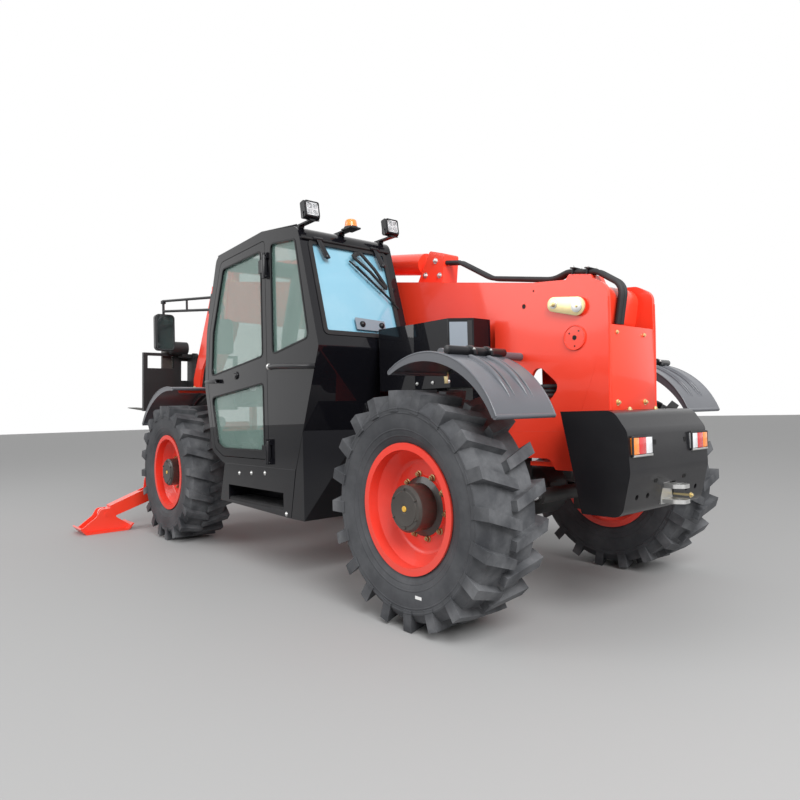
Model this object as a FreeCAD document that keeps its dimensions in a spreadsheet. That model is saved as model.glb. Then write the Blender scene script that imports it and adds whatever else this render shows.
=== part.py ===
import FreeCAD, Part
import math
import os
from FreeCAD import Placement, Rotation, Vector

# Telehandler with a telescopic boom, fork carriage, cab on the left and two front stabilisers.
# Millimetres and degrees. X points forward, Y to the machine's left, Z up from the ground.
# Origin: on the ground, in the middle of the machine's length, on its centre plane.

doc = FreeCAD.newDocument("telehandler")
sheet = doc.addObject("Spreadsheet::Sheet", "Sizes")

# The driving dimensions: name, value, what it is.
SIZES = [
    ("rear_axle_x", -2900, "rear axle, behind the middle of the whole length"),
    ("wheelbase", 3270, "front axle ahead of the rear axle"),
    ("tyre_radius", 595, "tyre over its lugs"),
    ("tyre_width", 405, "tyre across its lugs"),
    ("carcass_radius", 556, "tyre under its lugs"),
    ("wheel_centre_y", 900, "tyre's middle plane from the centre plane"),
    ("rim_flange_radius", 330, "rim over its flanges"),
    ("rim_seat_radius", 304, "rim where the tyre's bead sits"),
    ("rim_width", 340, "rim over its flanges, along the axle"),
    ("rim_wall", 10, "rim barrel's plate"),
    ("disc_offset", 25, "wheel disc outside the tyre's middle plane"),
    ("disc_thickness", 16, "wheel disc's plate"),
    ("hub_radius", 118, "planetary hub"),
    ("hub_reach", 128, "hub's face outside the wheel disc"),
    ("spindle_radius", 70, "spindle that the wheel turns on"),
    ("running_gap", 0.3, "round faces of two bodies apart"),
    ("seat_gap", 0.3, "flat faces of two pieces apart"),
    ("kingpin_y", 640, "steering pivot from the centre plane"),
    ("kingpin_radius", 32, "steering pivot pin"),
    ("axle_tube_radius", 82, "axle beam's tube"),
    ("yoke_height", 150, "inside of the steering yoke above and below the axle"),
    ("yoke_plate", 34, "steering yoke's ear"),
    ("knuckle_radius", 84, "steering knuckle's barrel"),
    ("steer_arm", 200, "steering arm from the kingpin to the steering cylinder's rod"),
    ("steer_rod_radius", 20, "steering cylinder's rod"),
    ("frame_half_width", 235, "outside of the frame's side plates"),
    ("frame_plate", 25, "frame's side plates"),
    ("frame_bottom", 520, "underside of the frame between the axles"),
    ("frame_top", 950, "top of the frame"),
    ("frame_nose", 810, "frame's front end ahead of the front axle"),
    ("arch_metal", 150, "frame left above its cut over each axle"),
    ("axle_arch_half", 300, "half of that cut's length"),
    ("weight_half_width", 400, "counterweight from the centre plane"),
    ("pivot_u", -480, "boom pivot ahead of the rear axle"),
    ("pivot_z", 1610, "boom pivot above the ground"),
    ("pivot_pin_radius", 38, "boom pivot pin"),
    ("pivot_tube_radius", 74, "boom pivot tube"),
    ("mast_plate", 25, "upright's plate"),
    ("boom_angle", 10, "boom's rise at rest"),
    ("boom_half_width", 180, "outer boom from the centre plane"),
    ("boom_over", 131, "outer boom's top above the pivot's line"),
    ("boom_under", 280, "outer boom's underside below the pivot's line"),
    ("boom_wall", 12, "plate of each boom section"),
    ("boom_slack", 13, "gap between one boom section and the next"),
    ("outer_length", 4550, "outer boom's front end from the pivot"),
    ("middle_out", 200, "middle section out of the outer one"),
    ("inner_out", 200, "inner section out of the middle one"),
    ("top_rise", 148, "top cylinder's middle above the outer boom"),
    ("top_radius", 78, "top cylinder's barrel"),
    ("top_rod_radius", 40, "top cylinder's rod"),
    ("top_length", 2150, "top cylinder's barrel, along the boom"),
    ("tilt_u", 4880, "carriage pivot ahead of the rear axle"),
    ("tilt_z", 1400, "carriage pivot above the ground"),
    ("tilt_back", 3, "carriage's backward tilt at rest"),
    ("carriage_half_width", 600, "fork carriage from the centre plane"),
    ("carriage_bottom", 1145, "fork carriage's lower edge"),
    ("carriage_top", 1845, "fork carriage's upper edge"),
    ("carriage_face", 5360, "fork carriage's front face"),
    ("fork_length", 1300, "tine ahead of the fork's heel"),
    ("fork_width", 120, "tine's width"),
    ("fork_thickness", 45, "tine's thickness at the heel"),
    ("fork_y", 300, "tine from the centre plane"),
    ("cab_left", 1000, "cab's left side"),
    ("cab_right", 245, "cab's right side"),
    ("cab_wall", 40, "cab's walls and door"),
    ("pillar_u", 1500, "pillar that carries the door"),
    ("glass", 6, "window panes"),
    ("door_gap", 5, "gap around the door"),
    ("hinge_out", 20, "door hinge's pin outside the cab's left side"),
    ("beam_ahead", 910, "stabiliser beam ahead of the front axle"),
    ("leg_pivot_y", 400, "stabiliser leg's pivot from the centre plane"),
    ("leg_pivot_z", 520, "stabiliser leg's pivot above the ground"),
    ("foot_pin_y", 1360, "foot's pin from the centre plane"),
    ("foot_pin_z", 170, "foot's pin above the ground"),
    ("leg_depth", 150, "stabiliser leg's box, up and down"),
    ("leg_width", 130, "stabiliser leg's box, fore and aft"),
    ("jack_radius", 36, "stabiliser cylinder's barrel"),
    ("lift_radius", 65, "lift cylinder's barrel"),
    ("tilt_radius", 45, "tilt cylinder's barrel"),
    ("pod_outer", 1050, "engine pod's outside from the centre plane"),
    ("pod_top", 1340, "engine pod's top"),
    ("pod_wall", 25, "engine pod's panels"),
    ("hood_hinge_y", 240, "engine hood's hinge from the centre plane"),
    ("hood_hinge_z", 1300, "engine hood's hinge above the ground"),
    ("fender_outer", 1070, "mudguards' outside from the centre plane"),
    ("fender_inner", 660, "mudguards' inside from the centre plane"),
    ("fender_sheet", 10, "mudguards' sheet"),
    ("guard_tube_radius", 23, "tubes that carry the mudguards"),
]


def text_of(value):
    """The expression that stands for a value: its own text, or the bare number."""
    return getattr(value, "text", repr(float(value)))


class Dim(float):
    """A number that keeps the sheet expression it was worked out with."""

    def __new__(cls, value, text):
        dim = float.__new__(cls, value)
        dim.text = text
        return dim

    def join(self, sign, left, right, value):
        return Dim(value, "(%s %s %s)" % (text_of(left), sign, text_of(right)))

    def __add__(self, other):
        return self.join("+", self, other, float(self) + float(other))

    def __radd__(self, other):
        return self.join("+", other, self, float(other) + float(self))

    def __sub__(self, other):
        return self.join("-", self, other, float(self) - float(other))

    def __rsub__(self, other):
        return self.join("-", other, self, float(other) - float(self))

    def __mul__(self, other):
        return self.join("*", self, other, float(self) * float(other))

    def __rmul__(self, other):
        return self.join("*", other, self, float(other) * float(self))

    def __truediv__(self, other):
        return self.join("/", self, other, float(self) / float(other))

    def __neg__(self):
        return Dim(-float(self), "(0 - %s)" % self.text)


class SheetSizes:
    """The sheet's cells as attributes, each with its value and its alias."""

    def __init__(self, rows):
        for row, (alias, value, note) in enumerate(rows, start=1):
            sheet.set("A%d" % row, note)
            sheet.set("B%d" % row, str(value))
            sheet.setAlias("B%d" % row, alias)
        doc.recompute()
        for alias, value, note in rows:
            setattr(self, alias, Dim(float(sheet.get(alias)), "Sizes." + alias))


size = SheetSizes(SIZES)
nodes = []


def ahead(u):
    """X of a station given ahead of the rear axle."""
    return size.rear_axle_x + u


def bind(item, prop, value):
    """Sets a property from a value and ties it to the sheet where the value comes from there."""
    if hasattr(value, "text"):
        item.setExpression(prop, value.text)
    else:
        target = item
        steps = prop.split(".")
        for step in steps[:-1]:
            target = getattr(target, step)
        setattr(target, steps[-1], float(value))


def put(item, x, y, z, rotation=None):
    """Places an object, with each coordinate tied to the sheet where it comes from there."""
    item.Placement = Placement(Vector(x, y, z), rotation or Rotation())
    for letter, value in (("x", x), ("y", y), ("z", z)):
        if hasattr(value, "text"):
            item.setExpression("Placement.Base." + letter, value.text)
    return item


def box(name, x, y, z, length, width, height):
    """A block from its lowest corner."""
    item = doc.addObject("Part::Box", name)
    bind(item, "Length", length)
    bind(item, "Width", width)
    bind(item, "Height", height)
    return put(item, x, y, z)


TURNS = {
    "x": Rotation(Vector(0, 1, 0), 90),
    "y": Rotation(Vector(1, 0, 0), -90),
    "z": Rotation(),
}


def bar(name, along, x, y, z, radius, length):
    """A round bar that starts at a point and runs along a positive axis."""
    item = doc.addObject("Part::Cylinder", name)
    bind(item, "Radius", radius)
    bind(item, "Height", length)
    return put(item, x, y, z, TURNS[along])


def link(name, start, end, radius):
    """A round bar between two points."""
    item = doc.addObject("Part::Cylinder", name)
    a = Vector(*start)
    b = Vector(*end)
    bind(item, "Radius", radius)
    item.Height = (b - a).Length
    return put(item, *start, rotation=Rotation(Vector(0, 0, 1), b - a))


def rounded_edges(corners):
    """Edges of a closed outline. Each corner is (a, b) or (a, b, radius)."""
    points = [Vector(float(c[0]), float(c[1]), 0) for c in corners]
    radii = [float(c[2]) if len(c) > 2 else 0.0 for c in corners]
    count = len(points)
    cuts = []
    for i, point in enumerate(points):
        if not radii[i]:
            cuts.append((point, None, point))
            continue
        back = (points[i - 1] - point).normalize()
        on = (points[(i + 1) % count] - point).normalize()
        half = back.getAngle(on) / 2
        reach = radii[i] / math.tan(half)
        middle = (back + on).normalize()
        centre = point + middle * (radii[i] / math.sin(half))
        cuts.append((point + back * reach, centre - middle * radii[i], point + on * reach))
    edges = []
    for i, (start, middle, end) in enumerate(cuts):
        if middle is not None:
            edges.append(Part.Arc(start, middle, end))
        following = cuts[(i + 1) % count][0]
        if (following - end).dot(points[(i + 1) % count] - points[i]) < -0.001:
            raise ValueError("corner %d is rounded past the next one" % i)
        if (following - end).Length > 0.001:
            edges.append(Part.LineSegment(end, following))
    return edges


PLANES = {
    "xz": (Rotation(Vector(1, 0, 0), 90), Vector(0, 1, 0)),
    "yz": (Rotation(Vector(0, 1, 0), Vector(0, 0, 1), Vector(1, 0, 0), "ZXY"), Vector(1, 0, 0)),
    "xy": (Rotation(), Vector(0, 0, 1)),
}


def outline(name, plane, corners, start=0.0):
    """A sketch of a closed outline, start along the plane's normal axis."""
    item = doc.addObject("Sketcher::SketchObject", name)
    item.addGeometry(rounded_edges(corners), False)
    turn, normal = PLANES[plane]
    spot = [0.0, 0.0, 0.0]
    spot[{"yz": 0, "xz": 1, "xy": 2}[plane]] = start
    return put(item, *spot, rotation=turn)


def prism(name, plane, corners, start, depth):
    """An outline pushed along the positive axis across its plane."""
    item = doc.addObject("Part::Extrusion", name)
    item.Base = outline(name + "_outline", plane, corners, start)
    item.DirMode = "Custom"
    item.Dir = PLANES[plane][1]
    item.Solid = True
    bind(item, "LengthFwd", depth)
    return item


def turned(name, corners, along, x, y, z):
    """A profile of (distance along the axis, radius) turned about that axis through a point."""
    item = doc.addObject("Part::Revolution", name)
    profile = doc.addObject("Sketcher::SketchObject", name + "_profile")
    profile.addGeometry(rounded_edges(corners), False)
    item.Source = profile
    item.Axis = Vector(1, 0, 0)
    item.Base = Vector(0, 0, 0)
    item.Angle = 360
    item.Solid = True
    ways = {"x": Rotation(), "y": Rotation(Vector(0, 0, 1), 90), "-y": Rotation(Vector(0, 0, 1), -90),
            "z": Rotation(Vector(0, 1, 0), -90)}
    return put(item, x, y, z, ways[along])


def fuse(name, items):
    """Several overlapping or touching pieces as one."""
    item = doc.addObject("Part::MultiFuse", name)
    item.Shapes = items
    item.Refine = True
    return item


def cut(name, base, tools):
    """A piece with others taken out of it."""
    tool = tools[0] if len(tools) == 1 else fuse(name + "_tools", tools)
    item = doc.addObject("Part::Cut", name)
    item.Base = base
    item.Tool = tool
    item.Refine = True
    return item


def common(name, base, tool):
    """What two pieces share."""
    item = doc.addObject("Part::Common", name)
    item.Base = base
    item.Tool = tool
    return item


def group(name, items):
    """Pieces that don't touch, kept as one."""
    item = doc.addObject("Part::Compound", name)
    item.Links = items
    return item


def mirrored(name, source):
    """The same piece on the machine's other side."""
    item = doc.addObject("Part::Mirroring", name)
    item.Source = source
    item.Normal = Vector(0, 1, 0)
    return item


def shaped(name, shape):
    """A piece whose form is worked out directly."""
    item = doc.addObject("Part::Feature", name)
    item.Shape = shape
    return item


def keep(label, item):
    """Marks an object as a finished sub-part under its own name."""
    item.Label = label
    nodes.append(item)
    return item


def inset(corners, wall):
    """An outline moved inwards by a wall, with its corner radii made smaller."""
    points = [(float(c[0]), float(c[1])) for c in corners]
    radii = [float(c[2]) if len(c) > 2 else 0.0 for c in corners]
    area = sum(a[0] * b[1] - b[0] * a[1] for a, b in zip(points, points[1:] + points[:1]))
    side = 1 if area > 0 else -1
    moved = []
    for i, point in enumerate(points):
        before = Vector(*points[i - 1], 0)
        here = Vector(*point, 0)
        after = Vector(*points[(i + 1) % len(points)], 0)
        one = (here - before).normalize()
        two = (after - here).normalize()
        normal_one = Vector(-one.y, one.x, 0) * side
        normal_two = Vector(-two.y, two.x, 0) * side
        middle = (normal_one + normal_two).normalize()
        reach = float(wall) / middle.dot(normal_one)
        spot = here + middle * reach
        moved.append((spot.x, spot.y, max(radii[i] - float(wall), 0.0)))
    return moved


# Stations that several pieces share.
front_axle_u = size.wheelbase
axle_z = size.tyre_radius
frame_front = front_axle_u + size.frame_nose
beam_u = front_axle_u + size.beam_ahead
axle_arch = size.frame_top - size.arch_metal
frame_inner = size.frame_half_width - size.frame_plate
boom_turn = Rotation(Vector(0, 1, 0), -float(size.boom_angle))
boom_place = (ahead(size.pivot_u), 0, size.pivot_z)

# Wheels, knuckles and axles: name, station ahead of the rear axle, side.
CORNERS = [
    ("front_left", front_axle_u, 1),
    ("front_right", front_axle_u, -1),
    ("rear_left", Dim(0, "0"), 1),
    ("rear_right", Dim(0, "0"), -1),
]


def wheel(corner, u, side):
    """Steel wheel with its planetary hub, and the tyre around it. Profiles run outwards."""
    along = "y" if side > 0 else "-y"
    half = size.rim_width / 2
    seat = size.rim_seat_radius
    well = seat - 22
    disc_in = float(size.disc_offset)
    disc_out = disc_in + size.disc_thickness
    hub_face = disc_out + size.hub_reach
    bore = size.spindle_radius + size.running_gap
    wall = size.rim_wall
    centre = (ahead(u), size.wheel_centre_y * side, axle_z)
    rim = turned("rim_" + corner, [
        (-half, size.rim_flange_radius), (-half, seat - wall), (-half + 60, seat - wall),
        (-half + 85, well - wall, 20), (disc_in - 60, well - wall), (disc_in, 250, 30), (disc_in, bore),
        (hub_face - 40, bore), (hub_face - 40, 0), (hub_face, 0), (hub_face, size.hub_radius - 12),
        (hub_face - 12, size.hub_radius), (disc_out + 18, size.hub_radius),
        (disc_out + 10, 150), (disc_out, 158), (disc_out, 236, 30), (half - 85, well - wall, 20),
        (half - 60, seat - wall), (half, seat - wall), (half, size.rim_flange_radius),
        (half - 12, size.rim_flange_radius), (half - 20, seat), (half - 60, seat), (half - 80, well),
        (-half + 80, well), (-half + 60, seat), (-half + 20, seat), (-half + 12, size.rim_flange_radius),
    ], along, *centre)
    keep("rim_" + corner, rim)
    shape = TYRE.copy() if side > 0 else TYRE.mirror(Vector(), Vector(0, 1, 0))
    shape.translate(Vector(*centre))
    keep("tyre_" + corner, shaped("tyre_" + corner, shape))


LUGS = 20


def tyre():
    """Tractor tread tyre about the origin: carcass turned about Y, with slanted lugs let into it."""
    half = size.rim_width / 2
    bead = size.rim_seat_radius + size.seat_gap
    flank = size.tyre_width / 2
    crown = size.carcass_radius
    side_marks = [(half - 21, bead), (half - 12.5, size.rim_flange_radius + 2), (flank - 20, 372),
                  (flank - 8, 420), (flank - 6, crown - 46), (flank - 50, crown)]
    edges = rounded_edges(side_marks + [(-y, r) for y, r in reversed(side_marks)])
    face = Part.Face(Part.Wire(Part.__sortEdges__([edge.toShape() for edge in edges])))
    carcass = face.revolve(Vector(), Vector(1, 0, 0), 360)
    carcass.rotate(Vector(), Vector(0, 0, 1), 90)
    foot = float(crown) - 70
    rise = float(size.tyre_radius) - 2.5 - foot
    lugs = []
    for side, phase in ((1, 0.0), (-1, 0.5)):
        # Across the tread from the middle to the shoulder: along the turn, along the axle.
        corners = [(-64, -14), (-14, -14), (66, flank), (6, flank)]
        marks = [Vector(a, float(b) * side, foot) for a, b in corners]
        bar_shape = Part.Face(Part.makePolygon(marks + marks[:1])).extrude(Vector(0, 0, rise))
        for i in range(LUGS):
            lug = bar_shape.copy()
            lug.rotate(Vector(), Vector(0, 1, 0), 360.0 / LUGS * (i + phase))
            lugs.append(lug)
    return carcass.fuse(lugs)


def knuckle(corner, u, side):
    """Steering knuckle: barrel on the kingpin, spindle into the wheel, and the steering arm."""
    x = ahead(u)
    y = size.kingpin_y * side
    half = size.yoke_height - 4
    reach = size.yoke_height + size.yoke_plate
    barrel = bar("barrel_" + corner, "z", x, y, axle_z - half, size.knuckle_radius, half * 2)
    pin = bar("kingpin_" + corner, "z", x, y, axle_z - reach, size.kingpin_radius, reach * 2)
    hub_end = size.wheel_centre_y + size.disc_offset + size.disc_thickness + size.hub_reach - 60
    start = size.kingpin_y if side > 0 else -hub_end
    spindle = bar("spindle_" + corner, "y", x, start, axle_z, size.spindle_radius,
                  hub_end - size.kingpin_y)
    collar_end = size.wheel_centre_y + size.disc_offset - 6
    start = size.kingpin_y if side > 0 else -collar_end
    collar = bar("collar_" + corner, "y", x, start, axle_z, 120, collar_end - size.kingpin_y)
    arm_way = 1 if u > 0 else -1
    low = x if arm_way > 0 else x - size.steer_arm
    arm_low = axle_z - 76 - size.seat_gap
    arm = box("arm_" + corner, low, y - 35, arm_low, size.steer_arm, 70, 40)
    eye = bar("arm_eye_" + corner, "z", x + size.steer_arm * arm_way, y, arm_low, 38, 40)
    keep("knuckle_" + corner, fuse("knuckle_" + corner, [barrel, pin, spindle, collar, arm, eye]))


def axle(end, u):
    """Axle beam: differential, tubes, the two steering yokes and the steering cylinder."""
    x = ahead(u)
    yoke_in = size.kingpin_y - size.knuckle_radius - 50
    tube = bar("axle_tube_" + end, "y", x, -yoke_in, axle_z, size.axle_tube_radius, yoke_in * 2)
    bowl = turned("axle_bowl_" + end, [(-150, 0), (-150, 95), (-95, 150, 50), (95, 150, 50), (150, 95), (150, 0)],
                  "y", x, 0, axle_z)
    nose_way = -1 if u > 0 else 1
    nose = bar("axle_nose_" + end, "x", x if nose_way > 0 else x - 300, 0, axle_z, 78, 300)
    pads = []
    pieces = [tube, bowl, nose]
    pad_top = axle_arch - size.seat_gap
    reach = size.yoke_height + size.yoke_plate
    for side, name in ((1, "left"), (-1, "right")):
        pad_low = size.frame_half_width - 90 if side > 0 else -size.frame_half_width
        pads.append(box("axle_pad_%s_%s" % (end, name), x - 70, pad_low, axle_z, 140, 90, pad_top - axle_z))
        y = size.kingpin_y * side
        back_low = yoke_in - 30 if side > 0 else -yoke_in
        back = box("yoke_back_%s_%s" % (end, name), x - 85, back_low, axle_z - reach, 170, 30, reach * 2)
        pieces.append(back)
        for level, low in (("top", axle_z + size.yoke_height), ("foot", axle_z - reach)):
            tag = "%s_%s_%s" % (level, end, name)
            start = yoke_in - 30 if side > 0 else -size.kingpin_y
            ear = box("ear_" + tag, x - 70, start, low, 140, size.kingpin_y - yoke_in + 30, size.yoke_plate)
            tip = bar("ear_tip_" + tag, "z", x, y, low, 70, size.yoke_plate)
            hole = bar("ear_hole_" + tag, "z", x, y, low - 1, size.kingpin_radius + size.running_gap,
                       size.yoke_plate + 2)
            pieces.append(cut("ear_cut_" + tag, fuse("ear_whole_" + tag, [ear, tip]), [hole]))
    rod_x = x - size.steer_arm * nose_way
    jack = bar("steer_barrel_" + end, "y", rod_x, -260, axle_z - 5, 42, 520)
    bore = bar("steer_bore_" + end, "y", rod_x, -261, axle_z - 5,
               size.steer_rod_radius + size.running_gap, 522)
    cheek_low = rod_x if nose_way > 0 else x
    cheeks = [box("steer_cheek_%s_%d" % (end, i), cheek_low, y, axle_z - 40, size.steer_arm, 30, 70)
              for i, y in enumerate((-215, 185))]
    barrel = cut("steer_jack_" + end, fuse("steer_whole_" + end, [jack] + cheeks), [bore])
    keep(end + "_axle", fuse(end + "_axle", pieces + pads + [barrel]))
    eye_y = size.kingpin_y
    rod = bar("steer_rod_bar_" + end, "y", rod_x, -eye_y, axle_z - 5, size.steer_rod_radius, eye_y * 2)
    ends = [bar("steer_eye_%s_%d" % (end, i), "z", rod_x, eye_y * s, axle_z - 36, 32, 44)
            for i, s in enumerate((1, -1))]
    keep(end + "_steering_rod", fuse(end + "_steering_rod", [rod] + ends))


def weight_front(z):
    """The counterweight's sloping front face, as a station ahead of the rear axle."""
    return -570 + (z - 550) * (110.0 / 510.0)


def frame():
    """Two long side plates cut over the axles, with cross plates between them."""
    low = size.frame_bottom
    top = size.frame_top
    arch = axle_arch
    half = size.axle_arch_half
    front = frame_front
    rear_top = weight_front(float(top)) + 0.5
    rear_low = weight_front(float(arch) - 60) + 0.5
    corners = [
        (ahead(rear_low), arch - 60), (ahead(-half), arch - 60), (ahead(-half + 40), arch, 30),
        (ahead(half - 60), arch, 60), (ahead(half + 140), low, 40), (ahead(front_axle_u - half - 140), low, 40),
        (ahead(front_axle_u - half + 60), arch, 60), (ahead(front_axle_u + half - 60), arch, 60),
        (ahead(front_axle_u + half + 60), low + 60, 40), (ahead(front), low + 60), (ahead(front), top - 60, 30),
        (ahead(front - 160), top), (ahead(rear_top), top),
    ]
    plates = [
        prism("frame_left", "xz", corners, frame_inner, size.frame_plate),
        prism("frame_right", "xz", corners, -size.frame_half_width, size.frame_plate),
    ]
    # Cross plates: station, underside, height, thickness, and whether a drive shaft passes through.
    CROSS = [(-440, 760, 150, 25, False), (480, 540, 330, 25, True),
             (front_axle_u - 570, 540, 330, 25, True), (front - 120, 600, 280, 30, False)]
    inner = frame_inner
    for i, (u, z, height, thick, open_for_shaft) in enumerate(CROSS):
        plate = box("frame_cross_%d" % i, ahead(u), -inner, z, thick, inner * 2, height)
        if open_for_shaft:
            plate = cut("frame_cross_cut_%d" % i, plate,
                        [bar("shaft_hole_%d" % i, "x", ahead(u) - 5, 0, axle_z, 52, thick + 10)])
        plates.append(plate)
    plates.append(box("frame_belly", ahead(700), -inner, low + 10, front_axle_u - 1670, inner * 2, 16))
    # Outriggers that carry the cab and step on the left and the engine pod on the right.
    for i, u in enumerate((1300, 2150)):
        left_end = size.cab_left - 260
        plates.append(box("cab_beam_%d" % i, ahead(u), size.frame_half_width - 5, 590, 90,
                          left_end - size.frame_half_width + 5, 80))
        right_end = size.pod_outer - 200
        plates.append(box("pod_beam_%d" % i, ahead(u), -right_end, 590, 90,
                          right_end - size.frame_half_width + 5, 80))
    # Posts and tubes that carry the front mudguards from below.
    tube_r = size.guard_tube_radius
    tube_x, tube_z = guard_spot("front", float(ahead(front_axle_u - 30)),
                                -float(size.fender_sheet + tube_r + size.seat_gap))
    for side in (1, -1):
        post_low = frame_inner if side > 0 else -frame_inner - 50
        plates.append(box("guard_post_%d" % side, tube_x - 30, post_low, top - 60, 60, 50,
                          tube_z + 30 - (top - 60)))
        tube_start = frame_inner if side > 0 else -size.fender_inner - 300
        plates.append(bar("guard_tube_%d" % side, "y", tube_x, tube_start, tube_z, tube_r,
                          size.fender_inner + 300 - frame_inner))
    lug_x = ahead(LIFT_FOOT[0])
    for y in (-75, 45):
        lug = prism("lift_lug_%d" % y, "xz", [
            (lug_x - 70, LIFT_FOOT[1] - 190), (lug_x + 70, LIFT_FOOT[1] - 190),
            (lug_x + 60, LIFT_FOOT[1] + 50, 50), (lug_x - 60, LIFT_FOOT[1] + 50, 50)], y, 30)
        plates.append(lug)
    plates.append(box("lift_floor", lug_x - 90, -inner, LIFT_FOOT[1] - 195, 180, inner * 2, 25))
    plates.append(bar("lift_pin", "y", lug_x, -78, LIFT_FOOT[1], 28, 156))
    keep("chassis_frame", fuse("chassis_frame", plates))


# Lift cylinder: foot pin in the frame, as (ahead of the rear axle, height), and the boom's pin,
# as (along the boom from its pivot, above the pivot's line).
LIFT_FOOT = (-200, 950)
LIFT_HEAD = (1200, -400)
LIFT_EYE = 48


def boom_point(s, h):
    """World X and Z of a point given along the boom from its pivot and above the pivot's line."""
    spot = boom_turn.multVec(Vector(s, 0, h))
    return (float(ahead(size.pivot_u)) + spot.x, float(size.pivot_z) + spot.z)


def mast():
    """Two uprights on the frame that hold the boom's pivot, with the cover plate behind."""
    base = size.frame_top + size.seat_gap
    corners = [
        (ahead(weight_front(950) + 0.5), base), (ahead(weight_front(1060) + 0.5), 1060 + size.seat_gap),
        (ahead(-474), 1060 + size.seat_gap), (ahead(-650), 1500), (ahead(-650), 1700, 70),
        (ahead(-560), 1752, 60), (ahead(-180), 1790, 20), (ahead(110), 1610, 40), (ahead(110), base),
    ]
    window = [(ahead(-345), 1200, 45), (ahead(-262), 1105, 55), (ahead(-110), 1195, 55), (ahead(-195), 1330, 50)]
    pieces = []
    for name, y in (("left", frame_inner), ("right", -size.frame_half_width)):
        plate = prism("upright_" + name, "xz", corners, y, size.mast_plate)
        hole = prism("upright_window_" + name, "xz", window, y - 2, size.mast_plate + 4)
        pieces.append(cut("upright_cut_" + name, plate, [hole]))
    inner = frame_inner
    cover = prism("mast_cover", "xz", [
        (ahead(-485), 1062), (ahead(-470), 1062), (ahead(-622), 1470), (ahead(-640), 1470)], -inner, inner * 2)
    sill = box("mast_sill", ahead(-465), -inner, base, 60, inner * 2, 16)
    for name, y in (("left", size.frame_half_width - 1), ("right", -size.frame_half_width - 6)):
        pieces.append(bar("mast_boss_" + name, "y", ahead(-450), y, 1450, 67, 7))
    block = box("hose_block", ahead(-494), 110, 1100, 94, 90, 170)
    pin_half = size.frame_half_width + 12
    pin = bar("mast_pivot_pin", "y", ahead(size.pivot_u), -pin_half, size.pivot_z, size.pivot_pin_radius,
              pin_half * 2)
    keep("boom_mast", fuse("boom_mast", pieces + [cover, sill, pin, block]))


def counterweight():
    """Rounded casting across the back, with pockets for the lamps and the tow jaw below."""
    half = size.weight_half_width
    corners = [
        (ahead(-790), 550, 60), (ahead(-840), 760, 120), (ahead(-830), 960, 60), (ahead(-760), 1060, 70),
        (ahead(weight_front(1060)), 1060), (ahead(weight_front(550)), 550),
    ]
    body = prism("weight_body", "xz", corners, -half, half * 2)
    pockets = [box("lamp_pocket_%d" % s, ahead(-845), 293 * s - 64, 848, 60, 128, 88) for s in (1, -1)]
    pockets += [bar("weight_hole_%d" % i, "x", ahead(-845), y, 640, 14, 60)
                for i, y in enumerate((200, -200, 300, -300))]
    slot = box("tow_slot", ahead(-845), -61, 580, 60, 122, 112)
    keep("counterweight", cut("counterweight", body, pockets + [slot]))


def tow_hitch():
    """Jaw with two plates and a vertical pin hole, on a foot set into the counterweight."""
    back = box("tow_back", ahead(-805) - size.seat_gap, -60, 581, 20, 120, 110)
    plates = []
    for z in (588, 664):
        plate = prism("tow_plate_%d" % z, "xy", [
            (ahead(-790), -55), (ahead(-790), 55), (ahead(-870), 55, 20), (ahead(-915), 30, 25),
            (ahead(-915), -30, 25), (ahead(-870), -55, 20)], z, 20)
        plates.append(plate)
    hole = bar("tow_hole", "z", ahead(-875), 0, 580, 16, 120)
    keep("tow_hitch", cut("tow_hitch", fuse("tow_whole", [back] + plates), [hole]))


def road_lamps():
    """Tail lamps in the counterweight and head lamps on the frame's front."""
    tails = [box("tail_lamp_%d" % s, ahead(-842), 293 * s - 60, 852, 57 - size.seat_gap, 120, 80)
             for s in (1, -1)]
    heads = []
    for s in (1, -1):
        x = ahead(frame_front - 240)
        foot_low = frame_inner if s > 0 else -frame_inner - 90
        heads.append(fuse("head_lamp_%d" % s, [
            turned("head_shell_%d" % s, [(0, 0), (0, 35), (25, 60, 10), (78, 64), (84, 58), (88, 0)], "x",
                   x, 290 * s, 1022),
            box("head_foot_%d" % s, x + 30, foot_low, size.frame_top + size.seat_gap, 40, 90, 12)]))
    keep("road_lamps", group("road_lamps", tails + heads))


# Cab's side outline: ahead of the rear axle, height, corner radius.
CAB = [
    (1160, 722, 20), (860, 1500, 30), (1080, 2290, 90), (1560, 2362, 200), (2300, 2335, 90),
    (2510, 1780, 300), (2572, 1340, 120), (2445, 810, 60), (2250, 722, 40),
]
DOOR = [
    (1520, 775), (1520, 2290, 30), (2225, 2275, 70), (2450, 1760, 200), (2505, 1340, 100),
    (2395, 835, 60), (2250, 775, 40),
]


def shifted(corners):
    """An outline given ahead of the rear axle, moved to the machine's frame."""
    return [(ahead(c[0]),) + tuple(c[1:]) for c in corners]


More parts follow.
